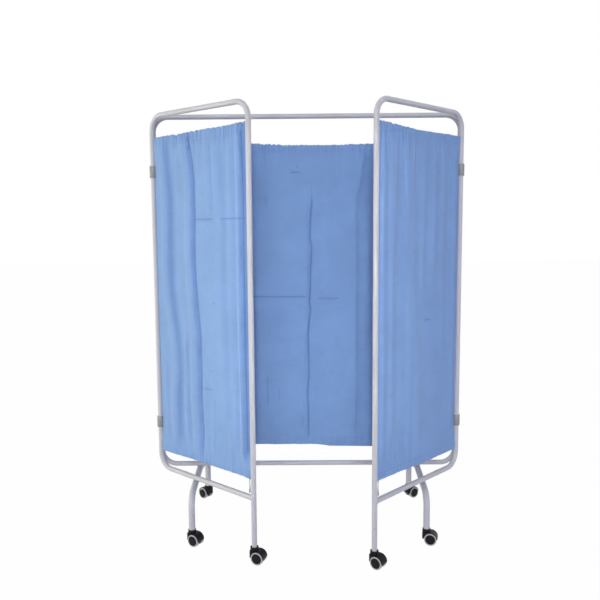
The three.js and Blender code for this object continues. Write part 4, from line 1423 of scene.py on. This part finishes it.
def hood_mesh():
    surface = Surface()
    hood_shell(surface)
    reach, edge = WEB_HALF - BOSS_SINK, BOSS_EDGE
    boss = [(0, -reach), (BOSS_RADIUS - edge, -reach), (BOSS_RADIUS, -reach + edge)]
    boss += [(BOSS_RADIUS, reach - edge), (BOSS_RADIUS - edge, reach), (0, reach)]
    surface.turned(boss, (TRAIL, 0, AXLE_HEIGHT), (0, 1, 0), segments=48)
    lip, base = COLLAR_LIP, AXLE_HEIGHT + WHEEL_RADIUS / 2
    flare = base + 14 * MM
    collar = [
        (0, flare),
        (COLLAR_RADIUS + 0.8 * MM, base),
        (COLLAR_RADIUS + 0.7 * MM, flare),
        (COLLAR_RADIUS, base + 18 * MM),
        (COLLAR_RADIUS, COLLAR_TOP - lip),
        (COLLAR_RADIUS - lip / 4, COLLAR_TOP - lip / 4),
        (COLLAR_RADIUS - lip, COLLAR_TOP),
        (COLLAR_INNER + lip / 2, COLLAR_TOP),
        (COLLAR_INNER, COLLAR_TOP - lip / 2),
        (COLLAR_INNER, COLLAR_FLOOR),
        (0, COLLAR_FLOOR),
    ]
    surface.turned(collar, (0, 0, 0), UP)
    # The collar's base stays clear of the wheels, on the surface of their pockets
    points = surface.points[-1]
    pocket_top = AXLE_HEIGHT + arc(POCKET_RADIUS, points[:, 0] - TRAIL)
    points[:, 2] = np.maximum(points[:, 2], pocket_top)
    return surface.mesh("caster_hood")


def wheel_surface(outline, segments, loop=False):
    """A form turned about the axle, on the -Y side, from (radius, distance from the middle)."""
    outline = [(size, -reach) for size, reach in outline]
    return Surface().turned(outline, (0, 0, 0), (0, 1, 0), loop=loop, segments=segments)


def tread_mesh():
    """The tread ring of the wheel on the -Y side, about the axle line through the origin."""
    inner, outer, radius = WHEEL_INNER, WHEEL_OUTER, WHEEL_RADIUS
    shoulder = [
        (radius - TREAD_ROUND * (1 - math.sin(angle)), TREAD_ROUND * (1 - math.cos(angle)))
        for angle in math.pi / 16 * np.arange(1, 9)
    ]
    outline = [(HUB_RADIUS - 0.6 * MM, inner + 0.5 * MM), (radius - TREAD_ROUND, inner)]
    outline += [(size, inner + depth) for size, depth in shoulder]
    middle = (inner + outer) / 2
    outline += [(radius, middle - 0.8 * MM), (radius - 0.25 * MM, middle), (radius, middle + 0.8 * MM)]
    outline += [(size, outer - depth) for size, depth in reversed(shoulder)]
    outline += [
        (radius - TREAD_ROUND - 1.2 * MM, outer),
        (HUB_RADIUS + 0.8 * MM, outer - 0.1 * MM),
        (HUB_RADIUS + 0.1 * MM, outer - 0.5 * MM),
        (HUB_RADIUS - 0.6 * MM, outer - 1.6 * MM),
    ]
    return wheel_surface(outline, segments=96, loop=True).mesh("caster_tread")


def hub_mesh():
    """The black wheel body inside the tread: a dished disc with a stepped cap in the middle."""
    inner, outer = WHEEL_INNER + 0.2 * MM, WHEEL_OUTER
    outline = [
        (0, AXLE_REACH),
        (AXLE_BORE, AXLE_REACH),
        (AXLE_BORE, inner),
        (HUB_RADIUS - 0.3 * MM, inner),
        (HUB_RADIUS, inner + 0.3 * MM),
        (HUB_RADIUS, outer - 1.3 * MM),
        (HUB_RADIUS - 0.5 * MM, outer - 0.8 * MM),
        (HUB_RADIUS - 2.2 * MM, outer - 0.7 * MM),
        (HUB_RADIUS - 2.7 * MM, outer - 1.5 * MM),
        (9.5 * MM, outer - 1.7 * MM),
        (7.6 * MM, outer - 1.3 * MM),
        (7.1 * MM, outer - 0.6 * MM),
        (4.0 * MM, outer - 0.35 * MM),
        (0, outer - 0.3 * MM),
    ]
    return wheel_surface(outline, segments=72).mesh("caster_hub")


def stem_mesh():
    """The pin under the leg, the flange at its end and the plug inside it."""
    pin, plug, flange = 4 * MM, 8 * MM, 9.4 * MM
    chamfer, edge = 1.5 * MM, 0.3 * MM
    foot, low, high, top = 28 * MM, LEG_END - 1.7 * MM, LEG_END - 0.3 * MM, LEG_END + 38 * MM
    outline = [(0, foot), (pin, foot), (pin, low), (flange - edge, low)]
    outline += [(flange, low + edge), (flange, high - edge), (flange - edge, high)]
    outline += [(plug, high), (plug, top - chamfer), (plug - chamfer, top), (0, top)]
    return Surface().turned(outline, (0, 0, 0), UP, segments=48).mesh("caster_stem")


def caster_places(name):
    """Where a caster's swivel axis stands and how its trail is turned."""
    swivel = Vector(JOINTS[f"{name}_swivel"]["pos_m"])
    wheels = [Vector(JOINTS[f"{name}_wheel_{letter}_spin"]["pos_m"]) for letter in "ab"]
    trail = (wheels[0] + wheels[1]) / 2 - swivel
    return Vector((swivel.x, swivel.y, 0)), math.atan2(trail.y, trail.x)


def add_casters():
    settings = bpy.context.scene.ward_screen_casters
    grey = tuple(settings.tread_colour)
    tread_finish = finish_named("rubber_tread", lambda: rubber_tread(grey))
    black, metal = black_plastic(), steel()
    hood, tread, hub, stem = hood_mesh(), tread_mesh(), hub_mesh(), stem_mesh()
    for name in CASTERS:
        foot, turn = caster_places(name)
        place = Matrix.Translation(foot) @ Matrix.Rotation(turn, 4, "Z")
        body = f"{name}_caster"
        shell = piece(f"{name}_caster_shell", hood, black, body, place)
        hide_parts(f"{name}_caster_hood")
        post = piece(f"{name}_caster_post", stem, metal, node_body(f"{name}_caster_stem"),
                     place)
        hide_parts(f"{name}_caster_stem")
        # The axle stays as the frame gives it and only takes the steel
        axle = frame["nodes"][f"{name}_caster_axle"]
        axle.data.materials.clear()
        axle.data.materials.append(metal)
        at_axle = place @ Matrix.Translation((TRAIL, 0, AXLE_HEIGHT))
        for letter, flip in (("a", 0.0), ("b", math.pi)):
            wheel = f"{name}_wheel_{letter}"
            spot = at_axle @ Matrix.Rotation(flip, 4, "Z")
            ring = piece(f"{wheel}_tread", tread, tread_finish, wheel, spot)
            disc = piece(f"{wheel}_hub", hub, black, wheel, spot)
            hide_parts(f"{name}_caster_wheel_{letter}")
            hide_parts(f"{name}_caster_wheel_{letter}")


# Stage


def sees_white(tree):
    """1 for camera, glossy and transmission rays."""
    path = tree.nodes.new("ShaderNodeLightPath")
    total = path.outputs["Is Camera Ray"]
    for kind in ("Is Glossy Ray", "Is Transmission Ray"):
        either = tree.nodes.new("ShaderNodeMath")
        either.operation = "MAXIMUM"
        tree.links.new(total, either.inputs[0])
        tree.links.new(path.outputs[kind], either.inputs[1])
        total = either.outputs["Value"]
    return total


def white_floor(settings):
    """A floor that is white to the camera, keeps the object's shadow and bounces little light."""
    material = bpy.data.materials.new("white_floor")
    material.use_nodes = True
    tree = material.node_tree
    pale = tree.nodes["Principled BSDF"]
    pale.inputs["Base Color"].default_value = (0.9, 0.9, 0.9, 1)
    pale.inputs["Roughness"].default_value = 0.9
    pale.inputs["Specular IOR Level"].default_value = 0
    dull = tree.nodes.new("ShaderNodeBsdfDiffuse")
    dull.inputs["Color"].default_value = (*settings.floor_bounce, 1)
    light = tree.nodes.new("ShaderNodeEmission")
    shown, either = tree.nodes.new("ShaderNodeMixShader"), tree.nodes.new("ShaderNodeMixShader")
    shown.inputs["Fac"].default_value = settings.floor_white
    tree.links.new(pale.outputs["BSDF"], shown.inputs[1])
    tree.links.new(light.outputs["Emission"], shown.inputs[2])
    tree.links.new(sees_white(tree), either.inputs["Fac"])
    tree.links.new(dull.outputs["BSDF"], either.inputs[1])
    tree.links.new(shown.outputs["Shader"], either.inputs[2])
    tree.links.new(either.outputs["Shader"], tree.nodes["Material Output"].inputs["Surface"])
    return material


def white_world(settings):
    """White to the camera and to reflections, and a soft even light on the object."""
    world = bpy.data.worlds.new("studio")
    world.use_nodes = True
    tree = world.node_tree
    soft = tree.nodes["Background"]
    soft.inputs["Color"].default_value = (*settings.fill_colour, 1)
    soft.inputs["Strength"].default_value = settings.fill_strength
    white = tree.nodes.new("ShaderNodeBackground")
    white.inputs["Color"].default_value = (1, 1, 1, 1)
    mix = tree.nodes.new("ShaderNodeMixShader")
    tree.links.new(sees_white(tree), mix.inputs["Fac"])
    tree.links.new(soft.outputs["Background"], mix.inputs[1])
    tree.links.new(white.outputs["Background"], mix.inputs[2])
    tree.links.new(mix.outputs["Shader"], tree.nodes["World Output"].inputs["Surface"])
    bpy.context.scene.world = world


def key_light(settings):
    """A broad, soft light from low in front."""
    lamp = bpy.data.lights.new("key", "SUN")
    lamp.energy = settings.key_strength
    lamp.angle = KEY_ANGLE
    lamp.color = KEY_COLOUR
    thing = put("key", lamp)
    thing.rotation_euler = Vector(KEY_DIRECTION).to_track_quat("-Z", "Y").to_euler()


def softbox(name, place, target, size, power, colour):
    """A flat lamp that faces its target and isn't seen itself."""
    lamp = bpy.data.lights.new(name, "AREA")
    lamp.shape = "RECTANGLE"
    lamp.size, lamp.size_y = size
    lamp.energy = power
    lamp.color = colour
    thing = put(name, lamp)
    thing.location = place
    toward = Vector(target) - Vector(place)
    thing.rotation_euler = toward.to_track_quat("-Z", "Y").to_euler()
    thing.visible_camera = False
    return lamp


def add_camera():
    ahead = np.array((
        math.sin(CAMERA_YAW) * math.cos(CAMERA_PITCH),
        math.cos(CAMERA_YAW) * math.cos(CAMERA_PITCH),
        -math.sin(CAMERA_PITCH),
    ))
    level = np.array((math.cos(CAMERA_YAW), -math.sin(CAMERA_YAW), 0.0))
    upright = np.cross(level, ahead)
    right = math.cos(CAMERA_ROLL) * level + math.sin(CAMERA_ROLL) * upright
    up = -math.sin(CAMERA_ROLL) * level + math.cos(CAMERA_ROLL) * upright
    lens = bpy.data.cameras.new("camera")
    lens.lens = CAMERA_LENS
    lens.sensor_width = CAMERA_SENSOR
    camera = put("camera", lens)
    turned = np.eye(4)
    turned[:3, 0], turned[:3, 1], turned[:3, 2] = right, up, -ahead
    turned[:3, 3] = CAMERA_PLACE
    camera.matrix_world = Matrix(turned.tolist())
    bpy.context.scene.camera = camera


def add_stage():
    settings = bpy.context.scene.ward_screen_stage
    half = settings.floor_size / 2
    corners = [(-half, -half, 0), (half, -half, 0), (half, half, 0), (-half, half, 0)]
    mesh = bpy.data.meshes.new("floor")
    mesh.from_pydata(corners, [], [(0, 1, 2, 3)])
    floor = put("floor", mesh)
    mesh.materials.append(white_floor(settings))
    white_world(settings)
    key_light(settings)
    softbox("left_softbox", *LEFT_SOFTBOX, SOFTBOX_SIZE, settings.left_power, LEFT_COLOUR)
    softbox("right_softbox", *RIGHT_SOFTBOX, SOFTBOX_SIZE, settings.right_power, RIGHT_COLOUR)
    for name, aim in STRIP_AIMS:
        spot = (aim, CENTRE_Y, STRIP_HEIGHT)
        strip = softbox(name, STRIP_PLACE, spot, STRIP_SIZE, settings.strip_power, STRIP_COLOUR)
        strip.spread = STRIP_SPREAD
    add_camera()
    bpy.context.scene.view_settings.view_transform = "Standard"


# Settings, operators and the sidebar panel


def colour_property(name, description, default):
    return FloatVectorProperty(name=name, description=description, default=default, size=3,
                               min=0, max=1, subtype="COLOR")


def share_property(name, description, default, most=1):
    return FloatProperty(name=name, description=description, default=default, min=0, max=most,
                         subtype="FACTOR")


def measure_property(name, description, default, kind="LENGTH"):
    return FloatProperty(name=name, description=description, default=default, unit=kind)


class FrameSettings(bpy.types.PropertyGroup):
    """The finish of the tubes."""

    paint_colour: colour_property("Paint", "Colour of the powder coat", (0.548, 0.556, 0.632))
    paint_roughness: share_property("Paint roughness", "How dull the paint is", 0.34)


class CurtainSettings(bpy.types.PropertyGroup):
    """The curtains' cloth and how it hangs."""

    cloth_colour: colour_property("Cloth", "Colour of the curtains", (0.194, 0.342, 0.675))
    thickness: measure_property("Thickness", "Thickness of the cloth", 0.45 * MM)
    sheen: share_property("Sheen", "Strength of the cloth's soft sheen", 0.25)
    thread_scale: FloatProperty(name="Thread scale", description="Fineness of the weave", default=620)
    fold_share: share_property("Folds", "Share of the folds' full depth", 1.0, 1.3)
    unevenness: measure_property("Unevenness", "Depth of the soft waves", 1.4 * MM)
    fullness: FloatProperty(name="Fullness", description="Cut width over hung width", default=1.12)
    tail_drop: measure_property("Tape length", "How far the tape hangs below the rod", 62 * MM)


class HingeSettings(bpy.types.PropertyGroup):
    """The finish of the hinges and rods."""

    steel_colour: colour_property("Steel", "Colour of the plated steel", (0.29, 0.31, 0.335))
    screw_colour: colour_property("Screws", "Colour of the screws", (0.07, 0.065, 0.075))
    nylon_colour: colour_property("Nylon", "Colour of the bushes", (0.55, 0.57, 0.60))


class CasterSettings(bpy.types.PropertyGroup):
    """The finish of the casters."""

    black_colour: colour_property("Black plastic", "Colour of hoods and hubs", (0.008, 0.008, 0.010))
    tread_colour: colour_property("Tread", "Colour of the treads", (0.44, 0.44, 0.46))


class StageSettings(bpy.types.PropertyGroup):
    """The floor and the light."""

    floor_size: measure_property("Floor", "Side of the floor", 40)
    floor_white: share_property("Floor white", "Share of plain white in the floor", 0.98)
    floor_bounce: colour_property("Floor bounce", "Colour of the light that the floor throws back",
                                  (0.74, 0.74, 0.74))
    fill_strength: FloatProperty(name="Fill", description="Strength of the even light", default=0.36)
    fill_colour: colour_property("Fill colour", "Colour of the even light", (0.97, 0.98, 1.0))
    key_strength: FloatProperty(name="Key", description="Strength of the light in front", default=1.2)
    left_power: measure_property("Left softbox", "Power of the softbox on the left", 74, "POWER")
    right_power: measure_property("Right softbox", "Power of the softbox on the right", 16.3, "POWER")
    strip_power: measure_property("Front strips", "Power of each narrow light in front", 0.62, "POWER")


class WARD_SCREEN_OT_frames(bpy.types.Operator):
    """Adds the bent tube frames and the feet with their welds"""

    bl_idname = "ward_screen.frames"
    bl_label = "Add frames and feet"

    def execute(self, context):
        add_frames()
        return {"FINISHED"}


class WARD_SCREEN_OT_rods(bpy.types.Operator):
    """Adds the curtain rods"""

    bl_idname = "ward_screen.rods"
    bl_label = "Add curtain rods"

    def execute(self, context):
        add_rods()
        return {"FINISHED"}


class WARD_SCREEN_OT_curtains(bpy.types.Operator):
    """Adds the gathered curtains and their tape tails"""

    bl_idname = "ward_screen.curtains"
    bl_label = "Add curtains"

    def execute(self, context):
        add_curtains()
        return {"FINISHED"}


class WARD_SCREEN_OT_hinges(bpy.types.Operator):
    """Adds the hinge straps with their bushes and screws"""

    bl_idname = "ward_screen.hinges"
    bl_label = "Add hinges"

    def execute(self, context):
        add_hinges()
        return {"FINISHED"}


class WARD_SCREEN_OT_casters(bpy.types.Operator):
    """Adds the twin-wheel casters"""

    bl_idname = "ward_screen.casters"
    bl_label = "Add casters"

    def execute(self, context):
        add_casters()
        return {"FINISHED"}


class WARD_SCREEN_OT_stage(bpy.types.Operator):
    """Adds the floor, the light and the camera"""

    bl_idname = "ward_screen.stage"
    bl_label = "Add stage"

    def execute(self, context):
        add_stage()
        return {"FINISHED"}


OPERATORS = (
    WARD_SCREEN_OT_frames,
    WARD_SCREEN_OT_rods,
    WARD_SCREEN_OT_curtains,
    WARD_SCREEN_OT_hinges,
    WARD_SCREEN_OT_casters,
    WARD_SCREEN_OT_stage,
)
SETTINGS = {
    "ward_screen_frames": FrameSettings,
    "ward_screen_curtains": CurtainSettings,
    "ward_screen_hinges": HingeSettings,
    "ward_screen_casters": CasterSettings,
    "ward_screen_stage": StageSettings,
}


class WARD_SCREEN_PT_panel(bpy.types.Panel):
    """Lists the screen's operators and settings"""

    bl_idname = "WARD_SCREEN_PT_panel"
    bl_label = "Ward screen"
    bl_space_type = "VIEW_3D"
    bl_region_type = "UI"
    bl_category = "Ward screen"

    def draw(self, context):
        for operator in OPERATORS:
            self.layout.operator(operator.bl_idname)
        for name, group in SETTINGS.items():
            box = self.layout.box()
            for key in group.__annotations__:
                box.prop(getattr(context.scene, name), key)


def register():
    for group in SETTINGS.values():
        bpy.utils.register_class(group)
    for name, group in SETTINGS.items():
        setattr(bpy.types.Scene, name, PointerProperty(type=group))
    for operator in OPERATORS:
        bpy.utils.register_class(operator)
    bpy.utils.register_class(WARD_SCREEN_PT_panel)


def unregister():
    bpy.utils.unregister_class(WARD_SCREEN_PT_panel)
    for operator in reversed(OPERATORS):
        bpy.utils.unregister_class(operator)
    for name in SETTINGS:
        delattr(bpy.types.Scene, name)
    for group in reversed(SETTINGS.values()):
        bpy.utils.unregister_class(group)


def main():
    register()
    bpy.ops.ward_screen.frames()
    bpy.ops.ward_screen.rods()
    bpy.ops.ward_screen.curtains()
    bpy.ops.ward_screen.hinges()
    bpy.ops.ward_screen.casters()
    bpy.ops.ward_screen.stage()


if __name__ == "__main__":
    main()
